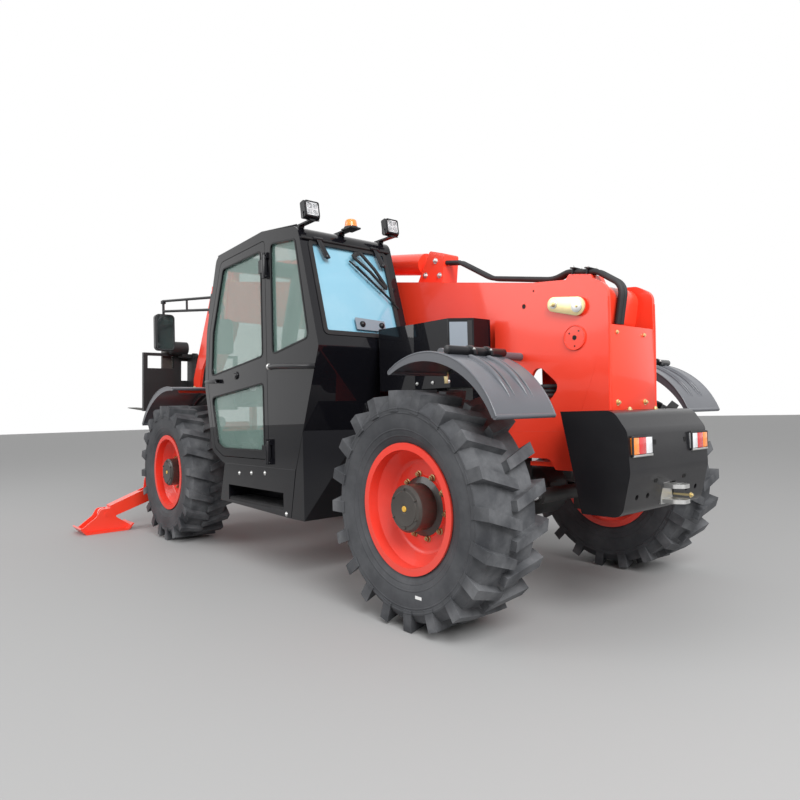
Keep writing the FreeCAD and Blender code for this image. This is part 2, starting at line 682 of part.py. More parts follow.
def cab():
    """Hollow cab: shell, window openings, panes, roof, door with its pane, seat and controls."""
    wall = size.cab_wall
    width = size.cab_left - size.cab_right
    outer = prism("cab_outer", "xz", shifted(CAB), size.cab_right, width)
    hollow = prism("cab_hollow", "xz", inset(shifted(CAB), wall), size.cab_right + wall, width - wall * 2)
    door_hole = prism("door_hole", "xz", inset(shifted(DOOR), -size.door_gap),
                      size.cab_left - wall - 5, wall + 10)
    quarter = [(970, 1560, 30), (1110, 2215, 50), (1440, 2255, 30), (1440, 1490, 30)]
    lower = [(1040, 1400, 30), (1440, 1400, 30), (1440, 800, 30), (1205, 800, 30)]
    side_window = [(1100, 1560, 30), (1200, 2200, 50), (2180, 2230, 60), (2380, 1760, 60), (2430, 1400, 60)]
    left = size.cab_left - wall - 5
    right = size.cab_right - 5
    quarter_hole = prism("quarter_hole", "xz", shifted(quarter), left, wall + 10)
    right_hole = prism("right_hole", "xz", shifted(side_window), right, wall + 10)
    rear_low = 1585
    glass_y = size.cab_right + 70
    glass_width = width - 140
    rear_hole = box("rear_hole", ahead(780), glass_y, rear_low, 330, glass_width, 2195 - rear_low)
    front_hole = box("front_hole", ahead(2180), glass_y, 960, 450, glass_width, 2245 - 960)
    roof_hole = box("roof_hole", ahead(1700), glass_y + 40, 2250, 480, glass_width - 80, 200)
    holes = [hollow, door_hole, quarter_hole, right_hole, rear_hole, front_hole, roof_hole]
    shell = cut("cab_shell", outer, holes)
    hinge_x = ahead(size.pillar_u)
    hinge_y = size.cab_left + size.hinge_out
    HINGES = (785, 2065)
    mounts = []
    for z in HINGES:
        mounts.append(bar("hinge_pin_%d" % z, "z", hinge_x, hinge_y, z - 42, 6, 174))
        for low in (z - 42, z + 92):
            mounts.append(bar("hinge_eye_%d" % low, "z", hinge_x, hinge_y, low, 13, 40))
            mounts.append(box("hinge_strap_%d" % low, hinge_x - 40, size.cab_left - 2, low, 40, 18, 40))
            mounts.append(box("hinge_neck_%d" % low, hinge_x - 20, size.cab_left + 10, low, 20, 18, 40))
    keep("cab_frame", fuse("cab_frame", [shell] + mounts))
    # Panes lie in the middle of the wall, and stop short of each opening's edge.
    edge = size.seat_gap
    skin = cut("pane_skin", prism("pane_outer", "xz", inset(shifted(CAB), 14), glass_y, glass_width),
               [prism("pane_inner", "xz", inset(shifted(CAB), 14 + size.glass), glass_y - 1, glass_width + 2)])
    reach = fuse("pane_reach", [
        box("rear_reach", ahead(780), glass_y + edge, rear_low + edge, 330, glass_width - edge * 2,
            2195 - rear_low - edge * 2),
        box("front_reach", ahead(2180), glass_y + edge, 960 + edge, 450, glass_width - edge * 2,
            2245 - 960 - edge * 2),
    ])
    ends = common("cab_panes", skin, reach)
    sides = [
        prism("quarter_pane", "xz", inset(shifted(quarter), edge), size.cab_left - wall / 2, size.glass),
        prism("right_pane", "xz", inset(shifted(side_window), edge), size.cab_right + wall / 2, size.glass),
        box("roof_pane", ahead(1700) + edge, glass_y + 40 + edge, 2322, 480 - edge * 2,
            glass_width - 80 - edge * 2, size.glass),
    ]
    keep("cab_glass", group("cab_glass", [ends] + sides))
    window = [(1575, 1490, 30), (1575, 2235, 30), (2190, 2222, 70), (2395, 1750, 150), (2440, 1400, 60)]
    low_window = [(1575, 830, 30), (1575, 1310, 30), (2440, 1235, 60), (2345, 870, 60), (2230, 830, 40)]
    slab = prism("door_slab", "xz", shifted(DOOR), size.cab_left - wall, wall)
    door_holes = [prism("door_window", "xz", shifted(window), left, wall + 10),
                  prism("door_low_window", "xz", shifted(low_window), left, wall + 10)]
    handle = box("door_handle", ahead(2290), size.cab_left - 4, 1345, 150, 34, 26)
    knuckles = []
    for z in HINGES:
        knuckles.append(bar("door_eye_%d" % z, "z", hinge_x, hinge_y, z, 13, 90))
        knuckles.append(box("door_strap_%d" % z, hinge_x, size.cab_left + 10, z, 60, 18, 90))
        knuckles.append(box("door_leaf_%d" % z, hinge_x + 26, size.cab_left - 2, z, 34, 14, 90))
    bores = [bar("door_bore_%d" % z, "z", hinge_x, hinge_y, z - 1, 6 + size.running_gap, 92) for z in HINGES]
    keep("cab_door", cut("cab_door", fuse("door_whole", [cut("door_frame", slab, door_holes), handle] + knuckles),
                         bores))
    keep("door_glass", group("door_glass", [
        prism("door_pane", "xz", inset(shifted(window), edge), size.cab_left - wall / 2, size.glass),
        prism("door_low_pane", "xz", inset(shifted(low_window), edge), size.cab_left - wall / 2, size.glass)]))
    seat_y = (size.cab_left + size.cab_right) / 2
    floor_z = 722 + float(wall)
    base = box("seat_base", ahead(1330), seat_y - 170, floor_z + 0.3, 400, 340, 330)
    cushion = prism("seat_cushion", "xz", [
        (ahead(1290), floor_z + 330, 20), (ahead(1290), floor_z + 420, 30), (ahead(1800), floor_z + 450, 50),
        (ahead(1800), floor_z + 330, 30)], seat_y - 240, 480)
    back = prism("seat_back", "xz", [
        (ahead(1290), floor_z + 340, 20), (ahead(1150), floor_z + 980, 60), (ahead(1260), floor_z + 990, 50),
        (ahead(1420), floor_z + 430, 20)], seat_y - 230, 460)
    keep("cab_seat", fuse("cab_seat", [base, cushion, back]))
    column = prism("steering_column", "xz", [
        (ahead(2060), floor_z + 0.3), (ahead(2080), floor_z + 600), (ahead(2140), floor_z + 640),
        (ahead(2195), floor_z + 200), (ahead(2205), floor_z + 0.3)], seat_y - 60, 120)
    ring = doc.addObject("Part::Torus", "steering_ring")
    ring.Radius1 = 165
    ring.Radius2 = 14
    spin = Rotation(Vector(0, 1, 0), -35)
    put(ring, ahead(2070), seat_y, floor_z + 700, spin)
    boss = doc.addObject("Part::Cylinder", "steering_boss")
    boss.Radius = 40
    boss.Height = 110
    put(boss, ahead(2125), seat_y, floor_z + 617, spin)
    spokes = []
    for i, turn in enumerate((0, 120, 240)):
        spoke = doc.addObject("Part::Box", "steering_spoke_%d" % i)
        spoke.Length = 165
        spoke.Width = 26
        spoke.Height = 10
        put(spoke, ahead(2070), seat_y, floor_z + 696, spin.multiply(Rotation(Vector(0, 0, 1), turn)))
        spokes.append(spoke)
    console = box("side_console", ahead(1350), size.cab_right + wall + 0.3, floor_z + 0.3, 560, 90, 560)
    keep("cab_controls", group("cab_controls", [
        fuse("steering_set", [column, ring, boss] + spokes), console]))


def cab_step():
    """Step box under the door, open at the front of its tread, and the skirt behind it."""
    left = size.cab_left
    inner = size.cab_left - 260
    z_top = 722 - float(size.seat_gap)
    skirt = prism("step_skirt", "xz", shifted([
        (1235, 400), (1165, z_top), (2225, z_top), (2310, 430)]), inner, left - inner)
    nose = prism("step_space", "xz", shifted([
        (1330, 445), (1330, 560), (2160, 560), (2160, 445)]), inner + 60, left - inner)
    keep("cab_step", cut("cab_step", skirt, [nose]))


def side_body():
    """Black tank between cab and mast, with its cap boss, and the slanted box behind the step."""
    right = size.frame_half_width + 12
    upper = prism("tank_upper", "xy", [
        (ahead(828), right), (ahead(828), 560, 10), (ahead(520), 520, 60), (ahead(220), 515, 10),
        (ahead(135), 390, 10), (ahead(135), right)], 1215, 405)
    lower = box("tank_lower", ahead(150), right, 960, 640, 150, 300)
    back = prism("tank_back", "xz", shifted([
        (775, 975), (1068, 400), (1228, 400), (1157, 715), (1061, 975)]), right, size.cab_left - right)
    trim = prism("tank_back_cut", "xy", shifted([(600, 590), (1068, 1001), (600, 1100)]), 380, 700)
    plate = box("tank_plate", ahead(700), right, 960, 160, 140, 60)
    keep("side_body", fuse("side_body", [upper, lower, cut("tank_back_box", back, [trim]), plate]))


# Mudguards: front tip, crown and rear tip of each outside curve, ahead of the rear axle and above
# the ground.
GUARDS = {
    "rear": ((100, 1290), (-220, 1362), (-620, 1050)),
    "front": ((float(front_axle_u) + 640, 1030), (float(front_axle_u) + 230, 1318),
              (float(front_axle_u) - 180, 1340)),
}


def guard_marks(name):
    """The three points of a mudguard's outside curve, in the machine's frame."""
    return [Vector(ahead(u), 0, z) for u, z in GUARDS[name]]


def guard_spot(name, x, outside):
    """X and Z of a point on a mudguard's radius through a station, this far outside its curve."""
    curve = Part.Arc(*guard_marks(name)).toShape().Curve
    rise = math.sqrt(curve.Radius ** 2 - (x - curve.Center.x) ** 2)
    way = Vector(x - curve.Center.x, 0, rise).normalize()
    spot = curve.Center + way * (curve.Radius + outside)
    return spot.x, spot.z


def fenders():
    """Curved mudguards over the wheels; the rear ones hang from tubes on the uprights."""
    sheet_t = size.fender_sheet
    width = size.fender_outer - size.fender_inner
    tube_r = float(size.guard_tube_radius)
    guards = []
    for name in GUARDS:
        marks = guard_marks(name)
        outside = Part.Arc(*marks).toShape()
        middle = outside.Curve.Center
        thin = (outside.Curve.Radius - float(sheet_t)) / outside.Curve.Radius
        inside = Part.Arc(*[middle + (mark - middle) * thin for mark in marks]).toShape()
        ends = [Part.LineSegment(outside.Vertexes[i].Point, inside.Vertexes[i].Point).toShape() for i in (0, -1)]
        face = Part.Face(Part.Wire(Part.__sortEdges__([outside, inside] + ends)))
        face.translate(Vector(0, size.fender_inner, 0))
        arch = face.extrude(Vector(0, width, 0))
        if name == "rear":
            tube_x, tube_z = guard_spot(name, float(ahead(-80)), tube_r - 3)
            start = float(size.frame_half_width + size.seat_gap)
            tube = Part.makeCylinder(tube_r, float(size.fender_inner) + 210 - start,
                                     Vector(tube_x, start, tube_z), Vector(0, 1, 0))
            arch = arch.fuse(tube)
        for side in (1, -1):
            guards.append(shaped("%s_guard_%d" % (name, side),
                                 arch if side > 0 else arch.mirror(Vector(), Vector(0, 1, 0))))
    keep("fenders", group("fenders", guards))


def engine():
    """Engine pod on the right, its lid, and the engine as a plain block."""
    top = size.pod_top
    wall = size.pod_wall
    outer = size.pod_outer
    inner = size.frame_half_width + 15
    profile = [(-inner, 560), (-outer + 60, 560, 40), (-outer, 700, 60), (-outer, top - 60), (-inner, top - 60)]
    start = ahead(880)
    length = 1560
    body = prism("pod_body", "yz", profile, start, length)
    hollow = prism("pod_hollow", "yz", [
        (-inner - wall, 560 + wall), (-outer + 60 + wall, 560 + wall, 30), (-outer + wall, 700 + wall, 40),
        (-outer + wall, top), (-inner - wall, top)], start + wall, length - wall * 2)
    gap = size.seat_gap
    beams = [box("pod_beam_slot_%d" % i, ahead(u) - gap, -outer + 200 - gap, 590 - gap, 90 + gap * 2, outer,
                 80 + gap * 2) for i, u in enumerate((1300, 2150))]
    hinge_y = -size.hood_hinge_y
    hinge_z = size.hood_hinge_z
    pod_lugs = []
    hood_lugs = []
    bores = []
    for i, u in enumerate((960, 2240)):
        x = ahead(u)
        pod_lugs.append(bar("hood_pin_%d" % i, "x", x, hinge_y, hinge_z, 4, 124))
        for low in (x, x + 84):
            tag = "%d_%d" % (i, low)
            pod_lugs.append(bar("pod_eye_" + tag, "x", low, hinge_y, hinge_z, 8, 40))
            pod_lugs.append(box("pod_lug_" + tag, low, -inner - 2, top - 120, 40, 12, 58))
            pod_lugs.append(box("pod_neck_" + tag, low, -inner + 1, top - 70, 40, 9, hinge_z - top + 70))
        hood_lugs.append(bar("hood_eye_%d" % i, "x", x + 42, hinge_y, hinge_z, 8, 40))
        hood_lugs.append(box("hood_lug_%d" % i, x + 42, -inner - 2, hinge_z - 8, 40, 12, 18))
        bores.append(bar("hood_bore_%d" % i, "x", x + 41, hinge_y, hinge_z, 4 + size.running_gap, 42))
    louvres = [box("louvre_%d" % i, start + 90, -outer - 5, 820 + i * 55, 420, wall + 10, 26) for i in range(7)]
    louvres += [box("rear_louvre_%d" % i, start - 5, -outer + 170, 820 + i * 55, wall + 10, 420, 26)
                for i in range(7)]
    keep("engine_pod", fuse("engine_pod", [cut("pod_shell", body, [hollow] + beams + louvres)] + pod_lugs))
    keep("engine_block", box("engine_block", start + 340, -outer + 210, 670 + gap, 1040, 480, 520))
    lid_low = top - 60 + size.door_gap
    lid = prism("hood_lid", "yz", [
        (-inner, lid_low), (-outer, lid_low), (-outer, top, 45), (-outer + 130, top + 30, 60), (-inner - 60, top + 30, 30),
        (-inner, top - 20)], start, length)
    hollow_lid = prism("hood_hollow", "yz", [
        (-inner - wall, lid_low - 1), (-outer + wall, lid_low - 1), (-outer + wall, top - 15, 30),
        (-outer + 140, top + 5, 40), (-inner - wall - 40, top + 5)], start + wall, length - wall * 2)
    keep("engine_hood", cut("engine_hood", fuse("hood_whole", [cut("hood_shell", lid, [hollow_lid])] + hood_lugs),
                            bores))


def roof_foot(name, y, width):
    """Wedge on the roof's rear slope with an arm that reaches back over its edge."""
    def roof(u):
        return CAB[2][1] + (u - CAB[2][0]) * (CAB[3][1] - CAB[2][1]) / (CAB[3][0] - CAB[2][0]) + size.seat_gap
    return prism(name, "xz", shifted([
        (1120, roof(1120)), (1180, roof(1180)), (1180, 2318), (985, 2318), (985, 2308), (1120, 2308)]), y, width)


def roof_lamps():
    """Two square work lamps at the roof's rear corners, and the beacon between them."""
    pieces = []
    for i, y in enumerate((940, 280)):
        foot = roof_foot("work_foot_%d" % i, y - 20, 40)
        lamp = prism("work_lamp_%d" % i, "xz", shifted([
            (985, 2330, 12), (1000, 2440, 12), (1050, 2430, 8), (1035, 2322, 8)]), y - 55, 110)
        stem = box("work_stem_%d" % i, ahead(1005), y - 15, 2312, 24, 30, 40)
        pieces.append(fuse("work_set_%d" % i, [foot, lamp, stem]))
    foot = roof_foot("beacon_foot", 600, 50)
    shelf = box("beacon_shelf", ahead(960), 580, 2308, 100, 90, 10)
    dome = turned("beacon_dome", [(0, 0), (0, 42), (50, 36, 16), (60, 0)], "z", ahead(1010), 625, 2316)
    pieces.append(fuse("beacon", [foot, shelf, dome]))
    keep("roof_lamps", group("roof_lamps", pieces))


def mirrors():
    """Two mirrors on tube arms ahead of the cab, from pads on its front left edge."""
    slope = (CAB[4][0] - CAB[5][0]) / (CAB[4][1] - CAB[5][1])

    def front(z):
        return CAB[5][0] + (z - CAB[5][1]) * slope + size.seat_gap * 1.2

    pieces = [prism("mirror_pad", "xz", shifted([
        (front(1915), 1915), (front(2065), 2065), (front(2065) + 26, 2065), (front(1915) + 26, 1915)]), 934, 64)]
    # Root and tip from the centre plane, tip ahead of the rear axle, mirror's underside.
    for i, (y_root, y_tip, x_tip, low) in enumerate(((984, 1110, 3180, 1670), (948, 620, 3046, 1650))):
        top_tube = link("mirror_top_%d" % i, (ahead(front(2040) + 14), y_root, 2040), (ahead(x_tip), y_tip, 2110), 11)
        low_tube = link("mirror_low_%d" % i, (ahead(front(1945) + 14), y_root, 1945), (ahead(x_tip), y_tip, 2020), 11)
        middle = ((front(1990) + x_tip) / 2, (y_root + y_tip) / 2)
        strut = link("mirror_strut_%d" % i, (ahead(middle[0]), middle[1], 1985), (ahead(middle[0]), middle[1], 2072), 9)
        drop = link("mirror_drop_%d" % i, (ahead(x_tip), y_tip, 2118), (ahead(x_tip), y_tip, low + 40), 11)
        case = prism("mirror_case_%d" % i, "yz", [
            (y_tip - 85, low, 35), (y_tip + 85, low, 35), (y_tip + 85, low + 320, 35), (y_tip - 85, low + 320, 35)],
            ahead(x_tip) - 34, 46)
        pieces += [top_tube, low_tube, strut, drop, case]
    keep("mirrors", fuse("mirrors", pieces))


# Stabiliser cylinder: its upper pin, and its pin on the leg as (along the leg, above its line).
JACK_TOP = (100, 950)
JACK_LEG = (500, 120)


def leg_point(along, above):
    """Y and Z of a point given along the left leg from its pivot and above the leg's line."""
    y = float(size.foot_pin_y - size.leg_pivot_y)
    z = float(size.foot_pin_z - size.leg_pivot_z)
    long = math.hypot(y, z)
    return (float(size.leg_pivot_y) + (along * y - above * z) / long,
            float(size.leg_pivot_z) + (along * z + above * y) / long)


def stabilisers():
    """Cross beam with its tower, and on each side a leg, a foot, and a cylinder in two pieces."""
    x = ahead(beam_u)
    half = size.leg_width / 2
    py = size.leg_pivot_y
    pz = size.leg_pivot_z
    plate = 20
    gap = 6
    ear = half + gap
    profile = [
        (-py - 60, pz - 70, 60), (py + 60, pz - 70, 60), (py + 60, pz + 70, 60), (py - 120, pz + 160, 60),
        (160, JACK_TOP[1] + 70, 50), (-160, JACK_TOP[1] + 70, 50), (-py + 120, pz + 160, 60), (-py - 60, pz + 70, 60)]
    cheeks = [prism("beam_front", "yz", profile, x + ear, plate),
              prism("beam_rear", "yz", profile, x - ear - plate, plate)]
    web = box("beam_web", x - ear - 1, -30, pz - 60, ear * 2 + 2, 60, JACK_TOP[1] - pz - 60)
    floor = box("beam_floor", x - ear - 1, -200, pz - 60, ear * 2 + 2, 400, 25)
    bridge_start = frame_front - 90 + size.seat_gap
    bridge_half = frame_inner - size.seat_gap
    bridge = box("beam_bridge", ahead(bridge_start), -bridge_half, pz + 70,
                 beam_u - ear - plate - bridge_start + 5, bridge_half * 2, 200)
    pins = [bar("leg_pin_%d" % s, "x", x - ear - plate - 8, py * s, pz, 26, (ear + plate + 8) * 2) for s in (1, -1)]
    pins += [bar("jack_pin_%d" % s, "x", x - ear - plate - 8, JACK_TOP[0] * s, JACK_TOP[1], 20,
                 (ear + plate + 8) * 2) for s in (1, -1)]
    keep("stabiliser_beam", fuse("stabiliser_beam", cheeks + [web, floor, bridge] + pins))
    foot_y = size.foot_pin_y
    foot_z = size.foot_pin_z
    deep = size.leg_depth / 2
    long = math.hypot(float(foot_y - py), float(foot_z - pz))
    low_in = leg_point(60, -float(deep))
    low_out = leg_point(long - 60, -float(deep) + 20)
    high_out = leg_point(long - 60, float(deep) - 20)
    high_in = leg_point(60, float(deep))
    arm = prism("leg_arm", "yz", [low_in, low_out, high_out, high_in], x - half, size.leg_width)
    root = bar("leg_root", "x", x - half, py, pz, 58, size.leg_width)
    tip = bar("leg_tip", "x", x - half, foot_y, foot_z, 42, size.leg_width)
    neck = prism("leg_neck", "yz", [leg_point(0, -50), leg_point(80, -float(deep)), leg_point(80, float(deep)),
                                    leg_point(0, 50)], x - half, size.leg_width)
    shin = prism("leg_shin", "yz", [leg_point(long - 80, -40), leg_point(long, -30), leg_point(long, 30),
                                    leg_point(long - 80, 40)], x - half, size.leg_width)
    jack_y, jack_z = leg_point(*JACK_LEG)
    lug = prism("leg_lug", "yz", [
        leg_point(JACK_LEG[0] - 80, float(deep) - 15), leg_point(JACK_LEG[0] + 80, float(deep) - 15),
        leg_point(JACK_LEG[0] + 34, JACK_LEG[1] + 34) + (30,), leg_point(JACK_LEG[0] - 34, JACK_LEG[1] + 34) + (30,)],
        x - half, size.leg_width)
    eye_half = 24
    slot_half = size.jack_radius + 10
    slot = prism("leg_slot", "yz", [
        leg_point(JACK_LEG[0] - 150, JACK_LEG[1] - 74), leg_point(JACK_LEG[0] + 150, JACK_LEG[1] - 74),
        leg_point(JACK_LEG[0] + 150, JACK_LEG[1] + 90), leg_point(JACK_LEG[0] - 150, JACK_LEG[1] + 90)],
        x - slot_half, slot_half * 2)
    bosses = [bar("leg_boss_%d" % i, "x", start, jack_y, jack_z, 22, slot_half - eye_half - 4)
              for i, start in enumerate((x - slot_half - 1, x + eye_half + 5))]
    pivot_hole = bar("leg_pivot_hole", "x", x - half - 1, py, pz, 26 + size.running_gap, size.leg_width + 2)
    foot_hole = bar("leg_foot_hole", "x", x - half - 1, foot_y, foot_z, 20 + size.running_gap, size.leg_width + 2)
    leg_cut = cut("leg_cut", fuse("leg_whole", [arm, root, tip, neck, shin, lug]), [slot, pivot_hole, foot_hole])
    leg_body = fuse("leg_left", [leg_cut] + bosses)
    leg_left = keep("stabiliser_leg_left", leg_body)
    side_profile = [(foot_y - 215, 42, 10), (foot_y - 175, 16), (foot_y + 190, 16), (foot_y + 235, 42, 10),
                    (foot_y + 90, 150, 30), (foot_y + 50, foot_z + 50, 40), (foot_y - 50, foot_z + 50, 40),
                    (foot_y - 90, 130, 30)]
    base = prism("foot_base", "yz", [
        (foot_y - 235, 60), (foot_y - 185, 0, 30), (foot_y + 200, 0, 30), (foot_y + 250, 60), (foot_y + 238, 68),
        (foot_y + 192, 16, 20), (foot_y - 177, 16, 20), (foot_y - 223, 68)], x - 150, 300)
    foot_cheeks = [prism("foot_cheek_%d" % i, "yz", side_profile, start, 16)
                   for i, start in enumerate((x - half - gap - 16, x + half + gap))]
    foot_pin = bar("foot_pin", "x", x - half - gap - 26, foot_y, foot_z, 20, (half + gap + 26) * 2)
    foot_left = keep("stabiliser_foot_left", fuse("foot_left", [base, foot_pin] + foot_cheeks))
    # Cylinder drawn along its own axis, then laid between its pins.
    top = Vector(float(x), JACK_TOP[0], JACK_TOP[1])
    bottom = Vector(float(x), jack_y, jack_z)
    barrel, rod = cylinder_pair("jack", top, bottom, "x", float(size.jack_radius), 22, 30, 450, 390,
                                (20, 34, eye_half), (20, 34, eye_half))
    barrel_left = keep("stabiliser_barrel_left", barrel)
    rod_left = keep("stabiliser_rod_left", rod)
    for source, label in ((leg_left, "stabiliser_leg_right"), (foot_left, "stabiliser_foot_right"),
                          (barrel_left, "stabiliser_barrel_right"), (rod_left, "stabiliser_rod_right")):
        keep(label, mirrored(label, source))


def cylinder_pair(name, start, end, pin_axis, radius, rod_radius, clear, barrel_length, retract, foot, head):
    """A hydraulic cylinder between two pins: the barrel with its foot eye, and the rod with its eye.

    The barrel's tube starts this clear of its pin, and the rod can still go in by the retract length.
    Foot and head are each eye's pin radius, outer radius and half width along the pin.
    """
    way = (end - start).normalize()
    across = {"x": Vector(1, 0, 0), "y": Vector(0, 1, 0)}[pin_axis]
    gap = float(size.running_gap)

    def ring(centre, eye):
        return Part.makeCylinder(eye[1], eye[2] * 2, centre - across * eye[2], across)

    def hole(centre, eye):
        return Part.makeCylinder(eye[0] + gap, eye[2] * 2 + 2, centre - across * (eye[2] + 1), across)

    tube = Part.makeCylinder(radius, barrel_length, start + way * clear, way)
    gland = Part.makeCylinder(radius + 4, 40, start + way * (clear + barrel_length - 34), way)
    bore = Part.makeCylinder(rod_radius + gap, barrel_length, start + way * (clear + 8), way)
    neck = Part.makeCylinder(min(foot[1], foot[2]) - 2, clear + 1, start, way)
    barrel_shape = tube.fuse([gland, neck, ring(start, foot)]).cut([bore, hole(start, foot)])
    rod_start = clear + 14 + retract
    rod_bar = Part.makeCylinder(rod_radius, (end - start).Length - rod_start - head[1] + 6,
                                start + way * rod_start, way)
    rod_shape = rod_bar.fuse(ring(end, head)).cut(hole(end, head))
    return (shaped(name + "_barrel", barrel_shape.removeSplitter()),
            shaped(name + "_rod", rod_shape.removeSplitter()))


def boom():
    """Three box sections one in another, the gooseneck head, top cylinder and hoses."""
    wall = size.boom_wall
    slack = size.boom_slack
    over = size.boom_over
    under = size.boom_under
    wide = size.boom_half_width
    step = wall + slack
    outer_end = size.outer_length

    def section(name, inset_by, start, end):
        low = -under + inset_by
        high = over - inset_by
        half = wide - inset_by
        body = box(name + "_body", start, -half, low, end - start, half * 2, high - low)
        hollow = box(name + "_hollow", start - 5, -half + wall, low + wall, end - start + 10,
                     (half - wall) * 2, high - low - wall * 2)
        return body, hollow

    def runners(name, inset_by, end):
        """Wear pads inside a section's front end, that the next section slides on."""
        thick = slack - size.running_gap
        low = -under + inset_by + wall
        high = over - inset_by - wall
        half = wide - inset_by - wall
        start = end - 130
        pads = [box(name + "_pad_foot", start, -half + 20, low - 1, 110, half * 2 - 40, thick + 1),
                box(name + "_pad_top", start, -half + 20, high - thick, 110, half * 2 - 40, thick + 1)]
        for side, y in (("left", half - thick), ("right", -half - 1)):
            pads.append(box(name + "_pad_" + side, start, y, low + 60, 110, thick + 1, high - low - 120))
        return pads

    body, hollow = section("outer", Dim(0, "0"), Dim(260, "260"), outer_end)
    pivot = size.pivot_tube_radius
    tail = prism("boom_tail", "xz", [(-95, -100, 90), (-95, over - 2, 80), (262, over), (262, -under),
                                     (190, -under, 60)], -wide, wide * 2)
    tail_hollow = prism("tail_hollow", "xz", [(110, -70, 30), (110, over - 14), (300, over - 14), (300, -under + 14),
                                              (220, -under + 14)], -wide + wall, (wide - wall) * 2)
    tube = bar("pivot_tube", "y", 0, -frame_inner + 5, 0, pivot, (frame_inner - 5) * 2)
    bore = bar("pivot_bore", "y", 0, -frame_inner - 5, 0, size.pivot_pin_radius + size.running_gap,
               (frame_inner + 5) * 2)
    collar = box("outer_collar", outer_end - 140, -wide - 10, -under - 10, 140, wide * 2 + 20, over + under + 20)
    head_s, head_h = LIFT_HEAD
    lugs = []
    for y in (-106, 78):
        lugs.append(prism("lift_head_lug_%d" % y, "xz", [
            (head_s - 150, -under + 2), (head_s - 50, head_h - 50, 40), (head_s + 50, head_h - 50, 40),
            (head_s + 150, -under + 2)], y, 28))
    plate = box("lift_head_plate", head_s - 170, -120, -under - 12, 340, 240, 14)
    outer = cut("outer_cut", fuse("outer_whole", [body, tail, tube, collar, plate] + lugs),
                [hollow, tail_hollow, bore])
    outer_pin = [bar("lift_head_pin_%d" % y, "y", head_s, y, head_h, 40, 36) for y in (-79, 43)]
    # Red post on the tail and the bracket that holds the top cylinder's foot.
    clamp = prism("tail_bracket", "xz", [(30, over - 2), (70, over + 62, 10), (215, over + 62, 10), (250, over - 2)],
                  -60, 120)
    foot = prism("top_bracket", "xz", [(1240, over - 2), (1250, over + 210, 20), (1400, over + 230, 20), (1500, over - 2)],
                 -70, 140)
    boom_outer = fuse("boom_outer", [outer, clamp, foot] + outer_pin + runners("outer", Dim(0, "0"), outer_end))
    keep("boom_outer", put(boom_outer, *boom_place, rotation=boom_turn))
    middle_end = outer_end + size.middle_out
    body, hollow = section("middle", step, Dim(700, "700"), middle_end)
    axis_h = over + size.top_rise
    rod_end = middle_end - 60
    rod = bar("top_rod", "x", TOP_FOOT + 160, 0, axis_h, size.top_rod_radius, rod_end - TOP_FOOT - 160)
    post = prism("top_rod_post", "xz", [
        (middle_end - 125, over - step - 1), (middle_end - 105, axis_h + 60, 30), (middle_end - 15, axis_h + 60, 30),
        (middle_end - 5, over - step - 1)], -45, 90)
    middle = fuse("boom_middle", [cut("middle_box", body, [hollow]), rod, post] + runners("middle", step, middle_end))
    keep("boom_middle", put(middle, *boom_place, rotation=boom_turn))
    inner_end = middle_end + size.inner_out
    body, hollow = section("inner", step * 2, Dim(1000, "1000"), inner_end)
    inner_half = wide - step * 2
    top_h = float(over - step * 2)
    low_h = float(-under + step * 2)
    s_end = float(inner_end)
    ps, ph = boom_local(size.tilt_u, size.tilt_z)
    ps += boom_stretch
    root = float(middle_end) + 8
    cheek_profile = [(root, top_h - 1), (s_end - 10, top_h - 1, 60), (ps + 95, ph + 130, 60),
                     (ps + 75, ph - 60, 60), (ps - 70, ph - 60, 60), (ps - 130, ph + 260, 60),
                     (root + 40, low_h - 215, 40), (root, low_h - 100, 30)]
    cheeks = [prism("head_cheek_%d" % i, "xz", cheek_profile, y, 28)
              for i, y in enumerate((inner_half - 29, -inner_half + 1))]
    v_s, v_h = boom_local(*TILT_FOOT)
    v_s += boom_stretch
    ties = []
    # Plates between the cheeks: from and to along an edge of their outline, from its first corner.
    for name, first, second, reach_from, reach_to in (
            ("hood", cheek_profile[1], cheek_profile[2], 60, 480), ("keel", cheek_profile[6], cheek_profile[5], 70, 460)):
        a = Vector(first[0], first[1], 0)
        along = (Vector(second[0], second[1], 0) - a).normalize()
        inward = Vector(along.y, -along.x, 0) * (1 if name == "hood" else -1)
        marks = [a + along * reach_from + inward * 2, a + along * reach_to + inward * 2,
                 a + along * reach_to + inward * 18, a + along * reach_from + inward * 18]
        ties.append(prism("head_" + name, "xz", [(m.x, m.y) for m in marks], -inner_half + 2, (inner_half - 2) * 2))
    pins = [bar("tilt_foot_pin", "y", v_s, -inner_half + 2, v_h, 22, (inner_half - 2) * 2),
            bar("carriage_pin", "y", ps, -inner_half - 20, ph, 30, (inner_half + 20) * 2)]
    whole = cut("inner_cut", body, [hollow])
    keep("boom_inner", put(fuse("boom_inner", [whole] + ties + cheeks + pins), *boom_place, rotation=boom_turn))
    # Extension cylinder on top: its barrel stands on the outer section, its rod pushes the middle one.
    barrel = bar("top_barrel", "x", TOP_FOOT, 0, axis_h, size.top_radius, size.top_length)
    bore = bar("top_bore", "x", TOP_FOOT + 120, 0, axis_h, size.top_rod_radius + size.running_gap, size.top_length)
    saddles = [box("top_saddle_%d" % s, s, -50, over + size.seat_gap, 60, 100, size.top_rise - size.top_radius / 2)
               for s in (TOP_FOOT + 699, size.top_length + TOP_FOOT - 351)]
    top = cut("top_cylinder", fuse("top_whole", [barrel] + saddles), [bore])
    keep("top_cylinder", put(top, *boom_place, rotation=boom_turn))


# Where the top cylinder's barrel meets its bracket, along the boom from its pivot.
TOP_FOOT = 1501


